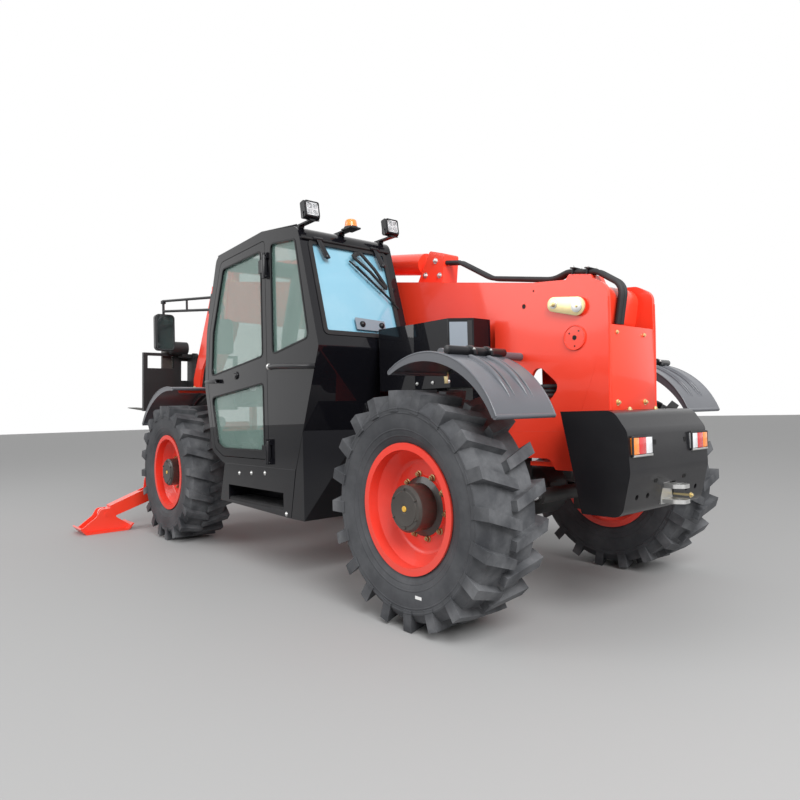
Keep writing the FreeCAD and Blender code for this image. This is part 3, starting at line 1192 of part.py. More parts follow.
# Tilt cylinder: foot pin in the boom's head and rod pin on the carriage, both at rest, as
# (ahead of the rear axle, height).
TILT_FOOT = (4350, 2050)
TILT_ROD = (5080, 1800)

# The carriage's pivot, the forks and the tilt cylinder are placed for an outer boom of this length.
# With another length they move along the boom with its end.
PLACED_FOR = 4550
boom_stretch = float(size.outer_length) - PLACED_FOR
head_shift = boom_turn.multVec(Vector(boom_stretch, 0, 0))


def boom_local(u, z):
    """Along the boom from its pivot and above the pivot's line, of a point of the machine."""
    spot = boom_turn.inverted().multVec(Vector(float(u) - float(size.pivot_u), 0, float(z) - float(size.pivot_z)))
    return spot.x, spot.z


def carriage():
    """Fork carriage with its pivot arms, and the two forks hung on it."""
    face = size.carriage_face
    low = size.carriage_bottom
    high = size.carriage_top
    half = size.carriage_half_width
    back = face - 60
    frame_box = box("carriage_frame", ahead(back), -half, low, 60, half * 2, high - low)
    windows = [box("carriage_window_%d" % s, ahead(back) - 5, 240 if s > 0 else -half + 45, high - 185,
                   70, half - 285, 150) for s in (1, -1)]
    windows.append(box("carriage_gap", ahead(back) - 5, -150, high - 330, 70, 300, 240))
    hung = cut("carriage_plate", frame_box, windows)
    tu = size.tilt_u
    tz = size.tilt_z
    ru, rz = TILT_ROD
    arms = []
    for i, y in enumerate((-74, 44)):
        arms.append(prism("carriage_arm_%d" % i, "xz", shifted([
            (tu - 60, tz - 60, 58), (tu + 120, tz - 70), (back + 2, low + 60), (back + 2, high - 60),
            (ru + 60, rz + 50, 30), (ru - 45, rz + 45, 44), (ru - 60, rz - 120, 60), (tu - 60, tz + 60, 58)]), y, 30))
    hub = bar("carriage_hub", "y", ahead(tu), -92, tz, 55, 184)
    bore = bar("carriage_bore", "y", ahead(tu), -93, tz, 30 + size.running_gap, 186)
    rod_pin = [bar("tilt_rod_pin_%d" % y, "y", ahead(ru), y, rz, 20, 34) for y in (-84, 50)]
    drum = turned("carriage_drum", [(0, 0), (0, 78, 10), (200, 78, 30), (222, 40), (222, 0)], "y",
                  ahead(5200), 120, 1905)
    drum_leg = box("drum_leg", ahead(5160), 130, 1800, 80, 60, 60)
    drum_arm = box("drum_arm", ahead(5170), 60, 1790, 190, 130, 30)
    body = cut("carriage_body", fuse("carriage_whole", [hung, hub] + arms + [drum, drum_leg, drum_arm]), [bore])
    tilt = Rotation(Vector(0, 1, 0), -float(size.tilt_back))
    whole = fuse("carriage_all", [body] + rod_pin)
    keep("fork_carriage", about_tilt_pivot(whole, tilt))
    forks = []
    thick = size.fork_thickness
    heel = face + size.seat_gap
    for s in (1, -1):
        y0 = size.fork_y * s - size.fork_width / 2
        tip = heel + thick + size.fork_length
        shank = prism("fork_%d" % s, "xz", shifted([
            (heel, low - 40, 30), (tip - 60, low - 40 + thick * 0.6), (tip, low - 40 + thick * 0.72), (tip, low - 40 + thick * 0.85),
            (heel + thick + 80, low - 40 + thick), (heel + thick, low - 40 + thick, 25), (heel + thick, high - 35),
            (heel, high - 35)]), y0, size.fork_width)
        hook = box("fork_hook_%d" % s, ahead(heel - 70), y0, high + size.seat_gap, 70 + thick, size.fork_width, 28)
        cap = box("fork_cap_%d" % s, ahead(heel), y0, high - 40, thick, size.fork_width, 60)
        forks.append(fuse("fork_set_%d" % s, [shank, hook, cap]))
    keep("forks", about_tilt_pivot(group("forks", forks), tilt))


def about_tilt_pivot(item, turn):
    """Turns a piece about the carriage's pivot, and moves it with the boom's end."""
    pivot = Vector(ahead(size.tilt_u), 0, size.tilt_z)
    item.Placement = Placement(pivot - turn.multVec(pivot) + head_shift, turn)
    return item


def cylinders():
    """Lift cylinder under the boom and tilt cylinder in its head, each a barrel and a rod."""
    head_x, head_z = boom_point(*LIFT_HEAD)
    start = Vector(float(ahead(LIFT_FOOT[0])), 0, LIFT_FOOT[1])
    barrel, rod = cylinder_pair("lift", start, Vector(head_x, 0, head_z), "y", float(size.lift_radius), 36, 95, 780,
                                145, (28, 52, 38), (26, LIFT_EYE, 38))
    keep("lift_barrel", barrel)
    keep("lift_rod", rod)
    tilt = Rotation(Vector(0, 1, 0), -float(size.tilt_back))
    pivot = Vector(float(ahead(size.tilt_u)), 0, float(size.tilt_z)) + head_shift
    pin = Vector(float(ahead(TILT_ROD[0])), 0, TILT_ROD[1]) + head_shift
    end = pivot + tilt.multVec(pin - pivot)
    start = Vector(float(ahead(TILT_FOOT[0])), 0, TILT_FOOT[1]) + head_shift
    barrel, rod = cylinder_pair("tilt", start, end, "y", float(size.tilt_radius), 24, 36, 480, 118,
                                (22, 40, 34), (20, 36, 34))
    keep("tilt_barrel", barrel)
    keep("tilt_rod", rod)


def hose(route, radius):
    """A hose along straight runs with round bends: each stop is (x, y, z) or (x, y, z, bend radius)."""
    points = [Vector(*[float(v) for v in stop[:3]]) for stop in route]
    edges = []
    here = points[0]
    for i in range(1, len(points) - 1):
        corner = points[i]
        back = (points[i - 1] - corner).normalize()
        on = (points[i + 1] - corner).normalize()
        half = back.getAngle(on) / 2
        bend = route[i][3]
        reach = bend / math.tan(half)
        start = corner + back * reach
        end = corner + on * reach
        side = (back + on).normalize()
        middle = corner + side * (bend / math.sin(half) - bend)
        edges.append(Part.LineSegment(here, start).toShape())
        edges.append(Part.Arc(start, middle, end).toShape())
        here = end
    edges.append(Part.LineSegment(here, points[-1]).toShape())
    spine = Part.Wire(edges)
    ring = Part.Wire(Part.makeCircle(radius, points[0], (points[1] - points[0]).normalize()))
    return spine.makePipeShell([ring], True, False)


def hoses():
    """Hoses along the boom's back and over its tail, and those that enter the left upright."""
    over = float(size.boom_over)
    back = []
    radius = 15
    lying = over + 62 + radius + float(size.seat_gap)
    for y in (6, 42):
        back.append(hose([
            (1246, y, over + 150), (1120, y, over + 150, 90), (820, y, over + 42, 260), (330, y, over + 34, 200),
            (236, y, lying, 90), (44, y, lying, 90), (-118, y, over + 6, 80), (-118, y, -70)], radius))
    boom_hoses = group("boom_hoses", [shaped("boom_hose_%d" % i, shape) for i, shape in enumerate(back)])
    keep("boom_hoses", put(boom_hoses, *boom_place, rotation=boom_turn))
    side = []
    # Height, where it turns inwards ahead of the rear axle, and its distance from the centre plane inside.
    for i, (z, turn, inner_y) in enumerate(((1201, -130, 180), (1176, -150, 150), (1151, -185, 125))):
        side.append(shaped("mast_hose_%d" % i, hose([
            (ahead(150) - size.seat_gap, 266, z), (ahead(turn), 266, z, 90), (ahead(-310), inner_y, z, 90),
            (ahead(-400) + size.seat_gap, inner_y, z)], 12)))
    keep("mast_hoses", group("mast_hoses", side))


def exhaust():
    """Exhaust pipe that leaves the engine pod's front and rises beside it."""
    x = float(ahead(880 + 1560) + size.seat_gap)
    y = -float(size.pod_outer) + 160
    pipe = hose([(x, y, 1120), (x + 75, y, 1120, 60), (x + 75, y, 1560, 60), (x + 20, y, 1640)], 32)
    flange = Part.makeCylinder(52, 12, Vector(x, y, 1120), Vector(1, 0, 0))
    keep("exhaust", shaped("exhaust", pipe.fuse(flange).removeSplitter()))


def driveline():
    """Gearbox between the frame plates and the shafts to both axles."""
    inner = frame_inner - 12
    gap = size.seat_gap
    case = box("gearbox", ahead(1250), -inner, size.frame_bottom + 26 + gap, 560, inner * 2, 260)
    rear = bar("rear_shaft", "x", ahead(300 + gap), 0, axle_z, 38, 951 - gap)
    front_start = 1809
    front = bar("front_shaft", "x", ahead(front_start), 0, axle_z, 38, front_axle_u - 300 - gap - front_start)
    keep("driveline", fuse("driveline", [case, rear, front]))


TYRE = tyre()
for corner, u, side in CORNERS:
    wheel(corner, u, side)
    knuckle(corner, u, side)
axle("front", front_axle_u)
axle("rear", Dim(0, "0"))
frame()
mast()
counterweight()
tow_hitch()
road_lamps()
cab()
cab_step()
side_body()
fenders()
engine()
roof_lamps()
mirrors()
stabilisers()
boom()
carriage()
cylinders()
hoses()
exhaust()
driveline()

doc.recompute()
failed = [item.Name for item in doc.Objects if {"Invalid", "Error"} & set(item.State)]
if failed:
    raise RuntimeError("these objects failed: " + ", ".join(failed))
for node in nodes:
    if node.Shape.isNull() or not node.Shape.isValid() or node.Shape.Volume <= 0:
        raise RuntimeError("bad shape: " + node.Label)
    if not node.Shape.Solids:
        raise RuntimeError("no solid in: " + node.Label)

os.makedirs("parts", exist_ok=True)
for node in nodes:
    node.Shape.exportStep(os.path.join("parts", node.Label + ".step"))
print(len(nodes), "sub-parts written")
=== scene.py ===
import logging
import math
from collections.abc import Iterable, Sequence
from dataclasses import dataclass, field
from enum import Enum

import bmesh
import bpy
from mathutils import Matrix, Vector


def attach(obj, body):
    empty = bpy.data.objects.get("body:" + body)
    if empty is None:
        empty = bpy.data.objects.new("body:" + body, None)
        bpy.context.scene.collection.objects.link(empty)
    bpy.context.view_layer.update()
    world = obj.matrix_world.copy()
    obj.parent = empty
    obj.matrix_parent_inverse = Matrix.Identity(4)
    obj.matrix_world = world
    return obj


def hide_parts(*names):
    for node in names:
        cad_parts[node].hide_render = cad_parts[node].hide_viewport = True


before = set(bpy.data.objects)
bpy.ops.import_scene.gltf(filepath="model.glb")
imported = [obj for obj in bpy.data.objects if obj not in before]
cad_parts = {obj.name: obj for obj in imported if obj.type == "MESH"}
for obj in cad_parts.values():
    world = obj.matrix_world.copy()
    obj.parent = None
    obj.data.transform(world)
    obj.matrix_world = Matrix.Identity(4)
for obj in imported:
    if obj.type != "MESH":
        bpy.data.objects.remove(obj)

LOG = logging.getLogger("telehandler")
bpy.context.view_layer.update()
REAR_AXLE_X = -2.9
HALF_WHEELBASE = 1.635
AXLES_MIDDLE = REAR_AXLE_X + HALF_WHEELBASE
AXLE_HEIGHT = 0.595
WHEEL_Y = 0.900
BOOM_ANGLE = math.radians(10.0)
BOOM_PIVOT = Vector((REAR_AXLE_X - 0.48, 0.0, 1.61))
CAB_LEFT = 1.0


def at(u: float, y: float, z: float) -> Vector:
    """A point given ahead of the rear axle, in metres."""
    return Vector((REAR_AXLE_X + u, y, z))


def on_boom(s: float, y: float, h: float) -> Vector:
    """A point given along the boom from its pivot, across it, and above the pivot's line."""
    c, n = math.cos(BOOM_ANGLE), math.sin(BOOM_ANGLE)
    return BOOM_PIVOT + Vector((s * c - h * n, y, s * n + h * c))


class Slot(Enum):
    """The record's material slots, named beside each new piece."""

    RED = "red_paint"
    BLACK = "black_paint"
    SATIN = "black_satin"
    RUBBER = "rubber"
    GLASS = "glass"
    STEEL = "steel"
    PLASTIC = "dark_plastic"
    SEAT = "seat_cover"
    LAMP = "lamp"
    ZINC = "zinc"


Settings = dict[str, object]
Operand = "Field | float"


class Field:
    """A value that varies over a surface, with arithmetic that adds the nodes for it."""

    def __init__(self, graph: "Graph", socket: bpy.types.NodeSocket) -> None:
        """Wraps one output socket of a shader tree.

        Args:
            graph: The tree that the socket belongs to.
            socket: The output socket.
        """
        self.graph = graph
        self.socket = socket

    def _math(self, operation: str, *operands: Operand) -> "Field":
        """Adds one Math node.

        Args:
            operation: The node's operation.
            operands: Its values in order.

        Returns:
            The node's result.
        """
        node = self.graph.add("ShaderNodeMath", {"operation": operation}, dict(enumerate(operands)))
        return Field(self.graph, node.outputs[0])

    def __add__(self, other: Operand) -> "Field":
        """This value plus another."""
        return self._math("ADD", self, other)

    def __radd__(self, other: Operand) -> "Field":
        """Another value plus this one."""
        return self._math("ADD", other, self)

    def __sub__(self, other: Operand) -> "Field":
        """This value minus another."""
        return self._math("SUBTRACT", self, other)

    def __rsub__(self, other: Operand) -> "Field":
        """Another value minus this one."""
        return self._math("SUBTRACT", other, self)

    def __mul__(self, other: Operand) -> "Field":
        """This value times another."""
        return self._math("MULTIPLY", self, other)

    def size(self) -> "Field":
        """This value without its sign."""
        return self._math("ABSOLUTE", self)

    def root(self) -> "Field":
        """This value's square root."""
        return self._math("SQRT", self)

    def step(self, low: float, high: float) -> "Field":
        """A smooth rise from 0 at low to 1 at high.

        Args:
            low: Where the rise starts.
            high: Where it ends.

        Returns:
            The smoothed value.
        """
        node = self.graph.add("ShaderNodeMapRange", {"interpolation_type": "SMOOTHSTEP"},
                              {"Value": self, "From Min": low, "From Max": high})
        return Field(self.graph, node.outputs[0])


class Graph:
    """A material's shader tree."""

    def __init__(self, name: str) -> None:
        """Makes a material with an empty tree and one Principled shader.

        Args:
            name: The material's name.
        """
        self.material = bpy.data.materials.new(name)
        self.material.use_nodes = True
        self.nodes = self.material.node_tree.nodes
        self.links = self.material.node_tree.links
        self.shader = self.nodes["Principled BSDF"]
        self.place = Field(self, self.add("ShaderNodeTexCoord", {}, {}).outputs["Object"])

    def add(self, kind: str, settings: Settings, inputs: dict[str | int, object]) -> bpy.types.Node:
        """Adds a node.

        Args:
            kind: The node's type.
            settings: Its properties by name.
            inputs: Its inputs by name or number, each a constant, a Field or a socket.

        Returns:
            The new node.
        """
        node = self.nodes.new(kind)
        for name, value in settings.items():
            setattr(node, name, value)
        for name, value in inputs.items():
            self.feed(node.inputs[name], value)
        return node

    def feed(self, socket: bpy.types.NodeSocket, value: object) -> None:
        """Links a Field or a socket to an input, or sets the input's own value.

        Args:
            socket: The input.
            value: What it takes.
        """
        if isinstance(value, Field):
            self.links.new(value.socket, socket)
        elif isinstance(value, bpy.types.NodeSocket):
            self.links.new(value, socket)
        else:
            socket.default_value = value

    def noise(self, scale: float, detail: float = 3.0, rough: float = 0.55) -> Field:
        """Cloudy variation over the object.

        Args:
            scale: Clouds per metre.
            detail: Finer layers on top.
            rough: How strong the finer layers are.

        Returns:
            A value from 0 to 1.
        """
        node = self.add("ShaderNodeTexNoise", {}, {"Vector": self.place, "Scale": scale, "Detail": detail,
                                                   "Roughness": rough})
        return Field(self, node.outputs[0])

    def place_axis(self, axis: int) -> Field:
        """One coordinate in the machine's own space, in metres.

        Args:
            axis: 0 ahead, 1 to the left, 2 up.

        Returns:
            The coordinate.
        """
        return Field(self, self.add("ShaderNodeSeparateXYZ", {}, {0: self.place}).outputs[axis])

    def facing(self, axis: int) -> Field:
        """How much the surface faces along an axis, from -1 to 1.

        Args:
            axis: 0 ahead, 1 to the left, 2 up.

        Returns:
            The share.
        """
        normal = self.add("ShaderNodeNewGeometry", {}, {}).outputs["Normal"]
        return Field(self, self.add("ShaderNodeSeparateXYZ", {}, {0: normal}).outputs[axis])

    def blend(self, factor: object, first: object, second: object) -> bpy.types.NodeSocket:
        """Mixes two colours.

        Args:
            factor: Share of the second colour.
            first: A colour or a socket.
            second: A colour or a socket.

        Returns:
            The mixed colour's socket.
        """
        node = self.add("ShaderNodeMix", {"data_type": "RGBA"}, {0: factor, 6: first, 7: second})
        return node.outputs[2]

    def relief(self, height: Field, strength: float, depth: float) -> None:
        """Feeds a Bump node into the shader's Normal.

        Args:
            height: The height field.
            strength: How much of it shows.
            depth: Its depth in metres.
        """
        bump = self.add("ShaderNodeBump", {}, {"Height": height, "Strength": strength, "Distance": depth})
        self.feed(self.shader.inputs["Normal"], bump.outputs[0])

    def set(self, **values: object) -> None:
        """Sets or links the shader's inputs; underscores stand for spaces.

        Args:
            values: The inputs by name.
        """
        for name, value in values.items():
            self.feed(self.shader.inputs[name.replace("_", " ")], value)


Colour = tuple[float, float, float]
Spot = tuple[float, float]
Profile = Sequence[Spot]


def rgba(colour: Colour) -> tuple[float, float, float, float]:
    """A colour with full cover."""
    return (*colour, 1.0)


@dataclass(frozen=True)
class Paint:
    """Sprayed paint with a fine orange peel, fading, and dust low down and on level faces."""

    name: str
    colour: Colour
    rough: float = 0.28
    coat: float = 0.6
    dust: float = 0.25
    peel: float = 0.0006
    shine: float = 0.5
    coat_index: float = 1.5
    coat_rough: float = 0.08

    def build(self) -> bpy.types.Material:
        """Makes the material."""
        g = Graph(self.name)
        cloud = g.noise(2.2, 4.0)
        fine = g.noise(38.0, 2.0)
        low = 1.0 - g.place_axis(2).step(0.15, 1.1)
        level = g.facing(2).step(0.55, 0.98)
        film = (low * 0.75 + level * 0.25) * cloud.step(0.35, 0.75) * self.dust
        faded = g.blend(cloud.step(0.3, 0.8) * 0.22, rgba(self.colour),
                        rgba(tuple(c * 0.86 + 0.008 for c in self.colour)))
        g.set(Base_Color=g.blend(film, faded, rgba((0.30, 0.28, 0.25))),
              Roughness=film * 0.6 + fine * 0.05 + self.rough, Specular_IOR_Level=self.shine,
              Coat_Weight=self.coat, Coat_Roughness=self.coat_rough, Coat_IOR=self.coat_index)
        g.relief(g.noise(170.0, 1.0) * 0.7 + cloud * 0.3, 0.35, self.peel)
        return g.material


@dataclass(frozen=True)
class Rubber:
    """Rubber, dusty in patches; a tyre's sidewall also has moulded rings about its axle."""

    name: str
    colour: Colour = (0.032, 0.033, 0.036)
    dust: float = 0.38
    grain: float = 0.0012
    film: Colour = (0.22, 0.22, 0.225)
    rings: tuple[float, ...] = ()
    ring_width: float = 0.0035

    def build(self) -> bpy.types.Material:
        """Makes the material."""
        g = Graph(self.name)
        cloud = g.noise(5.0, 5.0)
        scuff = g.noise(46.0, 4.0, 0.7)
        film = cloud.step(0.3, 0.72) * (0.45 + scuff * 0.7) * self.dust
        skin = scuff * 0.7 + g.noise(210.0, 1.0) * 0.3
        if self.rings:
            along = (g.place_axis(0) - AXLES_MIDDLE).size() - HALF_WHEELBASE
            rise = g.place_axis(2) - AXLE_HEIGHT
            radius = (along * along + rise * rise).root()
            film = film * (0.45 + radius.step(0.50, 0.57) * 0.8)
            for ring in self.rings:
                edge = (radius - ring).size()
                skin = skin + (1.0 - edge.step(self.ring_width * 0.5, self.ring_width * 1.4)) * 3.0
        g.set(Base_Color=g.blend(film, rgba(self.colour), rgba(self.film)),
              Roughness=0.6 + film * 0.5, Specular_IOR_Level=0.32)
        g.relief(skin, 0.6, self.grain)
        return g.material


@dataclass(frozen=True)
class Plated:
    """Bare, plated or ground metal with fine drawn lines and a few dull patches."""

    name: str
    colour: Colour
    rough: float = 0.3
    tarnish: Colour = (0.2, 0.17, 0.12)

    def build(self) -> bpy.types.Material:
        """Makes the material."""
        g = Graph(self.name)
        cloud = g.noise(14.0, 4.0)
        line = g.noise(320.0, 2.0, 0.8)
        stain = cloud.step(0.5, 0.82) * 0.45
        g.set(Base_Color=g.blend(stain, rgba(self.colour), rgba(self.tarnish)), Metallic=0.95 - stain * 0.5,
              Roughness=self.rough + line * 0.12 + stain * 0.3)
        g.relief(line, 0.25, 0.0003)
        return g.material


@dataclass(frozen=True)
class Moulded:
    """Moulded plastic or soft trim with a fine grain and a paler tone on its upper faces: dust, and on the
    mudguards also a painted sky highlight.
    """

    name: str
    colour: Colour
    rough: float = 0.5
    grain: float = 190.0
    depth: float = 0.0007
    dust: float = 0.25
    top_dust_and_sheen: Colour = (0.27, 0.26, 0.25)
    coat: float = 0.0

    def build(self) -> bpy.types.Material:
        """Makes the material."""
        g = Graph(self.name)
        cloud = g.noise(4.0, 4.0)
        skin = g.noise(self.grain, 2.0)
        # upper faces paler: dust, and with the mudguards' bluish colour also a painted highlight of the sky
        film = g.facing(2).step(0.3, 0.95) * cloud.step(0.3, 0.8) * self.dust
        g.set(Base_Color=g.blend(film, rgba(self.colour), rgba(self.top_dust_and_sheen)),
              Roughness=film * 0.3 + skin * 0.12 + self.rough, Coat_Weight=self.coat, Coat_Roughness=0.18)
        g.relief(skin, 0.5, self.depth)
        return g.material


@dataclass(frozen=True)
class Weave:
    """Seat cloth: two crossed threads."""

    name: str
    colour: Colour = (0.028, 0.029, 0.033)
    pitch: float = 420.0

    def build(self) -> bpy.types.Material:
        """Makes the material."""
        g = Graph(self.name)
        threads = [Field(g, g.add("ShaderNodeTexWave", {"bands_direction": way},
                                  {"Vector": g.place, "Scale": self.pitch, "Distortion": 0.6}).outputs[1])
                   for way in ("X", "Z")]
        cloth = threads[0] * 0.5 + threads[1] * 0.5
        g.set(Base_Color=g.blend(cloth * 0.5, rgba(self.colour), rgba((0.085, 0.088, 0.095))),
              Roughness=0.85 + cloth * 0.1, Sheen_Weight=0.3)
        g.relief(cloth, 0.6, 0.0008)
        return g.material


@dataclass(frozen=True)
class Pane:
    """Tinted safety glass with a thin film of dust; the rear window's pane is paler and bluer, a painted
    reflection of the sky.
    """

    name: str
    colour: Colour = (0.26, 0.42, 0.37)
    cover: float = 0.36
    rear_reflection_colour: Colour = (0.26, 0.56, 0.72)
    rear_reflection_cover: float = 0.78
    rear_ends: float = REAR_AXLE_X + 1.080
    side_starts: float = 0.960

    def build(self) -> bpy.types.Material:
        """Makes the material."""
        g = Graph(self.name)
        film = g.noise(3.0, 5.0).step(0.45, 0.85)
        ahead_of_it = g.place_axis(0).step(self.rear_ends - 0.005, self.rear_ends)
        beside_it = g.place_axis(1).step(self.side_starts - 0.005, self.side_starts)
        # rear marks the rear window's pane; its paler bluer colour and higher cover are a painted reflection
        # of the sky
        rear = (1.0 - ahead_of_it) * (1.0 - beside_it)
        tint_and_reflection = g.blend(rear, rgba(self.colour), rgba(self.rear_reflection_colour))
        g.set(Base_Color=g.blend(film * 0.12, tint_and_reflection, rgba((0.6, 0.6, 0.56))),
              Roughness=0.02 + film * 0.05,
              Alpha=rear * (self.rear_reflection_cover - self.cover) + self.cover + film * 0.08,
              Coat_Weight=1.0, Coat_Roughness=0.02, Specular_IOR_Level=0.6)
        g.material.surface_render_method = "BLENDED"
        return g.material


@dataclass(frozen=True)
class Lens:
    """Lamp lens with fine moulded ribs."""

    name: str
    colour: Colour
    glow: float = 0.0
    ribs: float = 130.0

    def build(self) -> bpy.types.Material:
        """Makes the material."""
        g = Graph(self.name)
        rib = Field(g, g.add("ShaderNodeTexWave", {"bands_direction": "Z"},
                             {"Vector": g.place, "Scale": self.ribs}).outputs[1])
        light = tuple(min(1.0, c * 1.5 + 0.05) for c in self.colour)
        g.set(Base_Color=g.blend(rib * 0.35, rgba(self.colour), rgba(light)),
              Roughness=0.08 + rib * 0.06, Coat_Weight=1.0, Coat_Roughness=0.03,
              Emission_Color=rgba(self.colour), Emission_Strength=self.glow)
        g.relief(rib, 0.6, 0.0012)
        return g.material


FINISHES = {
    "red": Paint("red_orange_paint", (0.92, 0.052, 0.022), 0.30, 0.5, 0.12, shine=0.35, coat_index=1.4),
    "rim_red": Paint("rim_paint", (0.86, 0.045, 0.024), 0.34, 0.4, 0.2, shine=0.3, coat_index=1.4),
    "black": Paint("gloss_black_paint", (0.005, 0.005, 0.007), 0.2, 1.0, 0.03, 0.0002, 0.05, 1.36, 0.015),
    "satin": Paint("satin_black_paint", (0.009, 0.009, 0.011), 0.36, 0.5, 0.1, 0.0004, 0.2, 1.34, 0.12),
    "frame": Paint("frame_black_paint", (0.016, 0.016, 0.017), 0.5, 0.1, 0.35, shine=0.3),
    "hub": Paint("hub_paint", (0.024, 0.019, 0.016), 0.34, 0.4, 0.3, shine=0.3),
    "tyre": Rubber("tyre_rubber", (0.036, 0.038, 0.043), 0.55, 0.0013, (0.23, 0.235, 0.245),
                   (0.366, 0.398, 0.480, 0.503)),
    "seal": Rubber("window_seal_rubber", (0.010, 0.010, 0.011), 0.06, 0.0004),
    "hose": Rubber("hose_rubber", (0.014, 0.014, 0.016), 0.12, 0.0005),
    "steel": Plated("ground_steel", (0.62, 0.61, 0.59), 0.24),
    "silver": Plated("bright_zinc", (0.66, 0.66, 0.65), 0.3, (0.34, 0.33, 0.31)),
    "chrome": Plated("rod_chrome", (0.78, 0.78, 0.79), 0.1, (0.4, 0.38, 0.34)),
    "zinc": Plated("yellow_zinc", (0.80, 0.66, 0.36), 0.3, (0.42, 0.33, 0.18)),
    "nut": Plated("dull_brass_nuts", (0.42, 0.30, 0.15), 0.4, (0.16, 0.12, 0.08)),
    "fork": Plated("fork_steel", (0.09, 0.085, 0.08), 0.45),
    # the mudguards' pale bluish upper faces are a painted sky highlight as well as dust
    "plastic": Moulded("mudguard_plastic", (0.078, 0.083, 0.096), 0.34, 150.0, 0.0006, 0.55,
                       (0.22, 0.23, 0.26), 0.35),
    "trim": Moulded("cab_trim_plastic", (0.022, 0.023, 0.025), 0.5, 260.0),
    "knob": Moulded("knob_plastic", (0.45, 0.03, 0.02), 0.35, 300.0),
    "pale": Moulded("pale_trim", (0.50, 0.54, 0.56), 0.4),
    # also laid on the tanks' corner facet as a painted reflection
    "plate": Moulded("window_foot_plate", (0.20, 0.24, 0.28), 0.3, 120.0, 0.0003, 0.1),
    "yellow": Paint("yellow_paint", (0.75, 0.42, 0.03), 0.4, 0.3, 0.2),
    "label": Moulded("blank_label", (0.78, 0.78, 0.77), 0.35, 90.0, 0.0002, 0.1),
    "seat": Weave("seat_cloth"),
    "glass": Pane("tinted_glass"),
    "mirror": Plated("mirror_glass", (0.24, 0.26, 0.27), 0.03, (0.16, 0.17, 0.17)),
    "amber": Lens("amber_lens", (0.9, 0.22, 0.01), 0.15),
    "red_lens": Lens("red_lens", (0.60, 0.012, 0.012), 0.08),
    "clear": Lens("clear_lens", (0.72, 0.74, 0.76), 0.05),
    "reflector": Plated("lamp_reflector", (0.85, 0.85, 0.85), 0.12),
    # near-black marks put in holes: painted shade where the holes lie in shadow
    "hole_shade": Rubber("painted_hole_shade", (0.004, 0.004, 0.004), 0.0, 0.0002),
}
MATERIALS: dict[str, bpy.types.Material] = {}


def finish_of(name: str) -> bpy.types.Material:
    """The material of a named finish, made once.

    Args:
        name: A key of FINISHES.

    Returns:
        The material.
    """
    if name not in MATERIALS:
        MATERIALS[name] = FINISHES[name].build()
    return MATERIALS[name]


def square_to(axis: Vector) -> Matrix:
    """A turn that takes Z to an axis."""
    return axis.normalized().to_track_quat("Z", "Y").to_matrix().to_4x4()


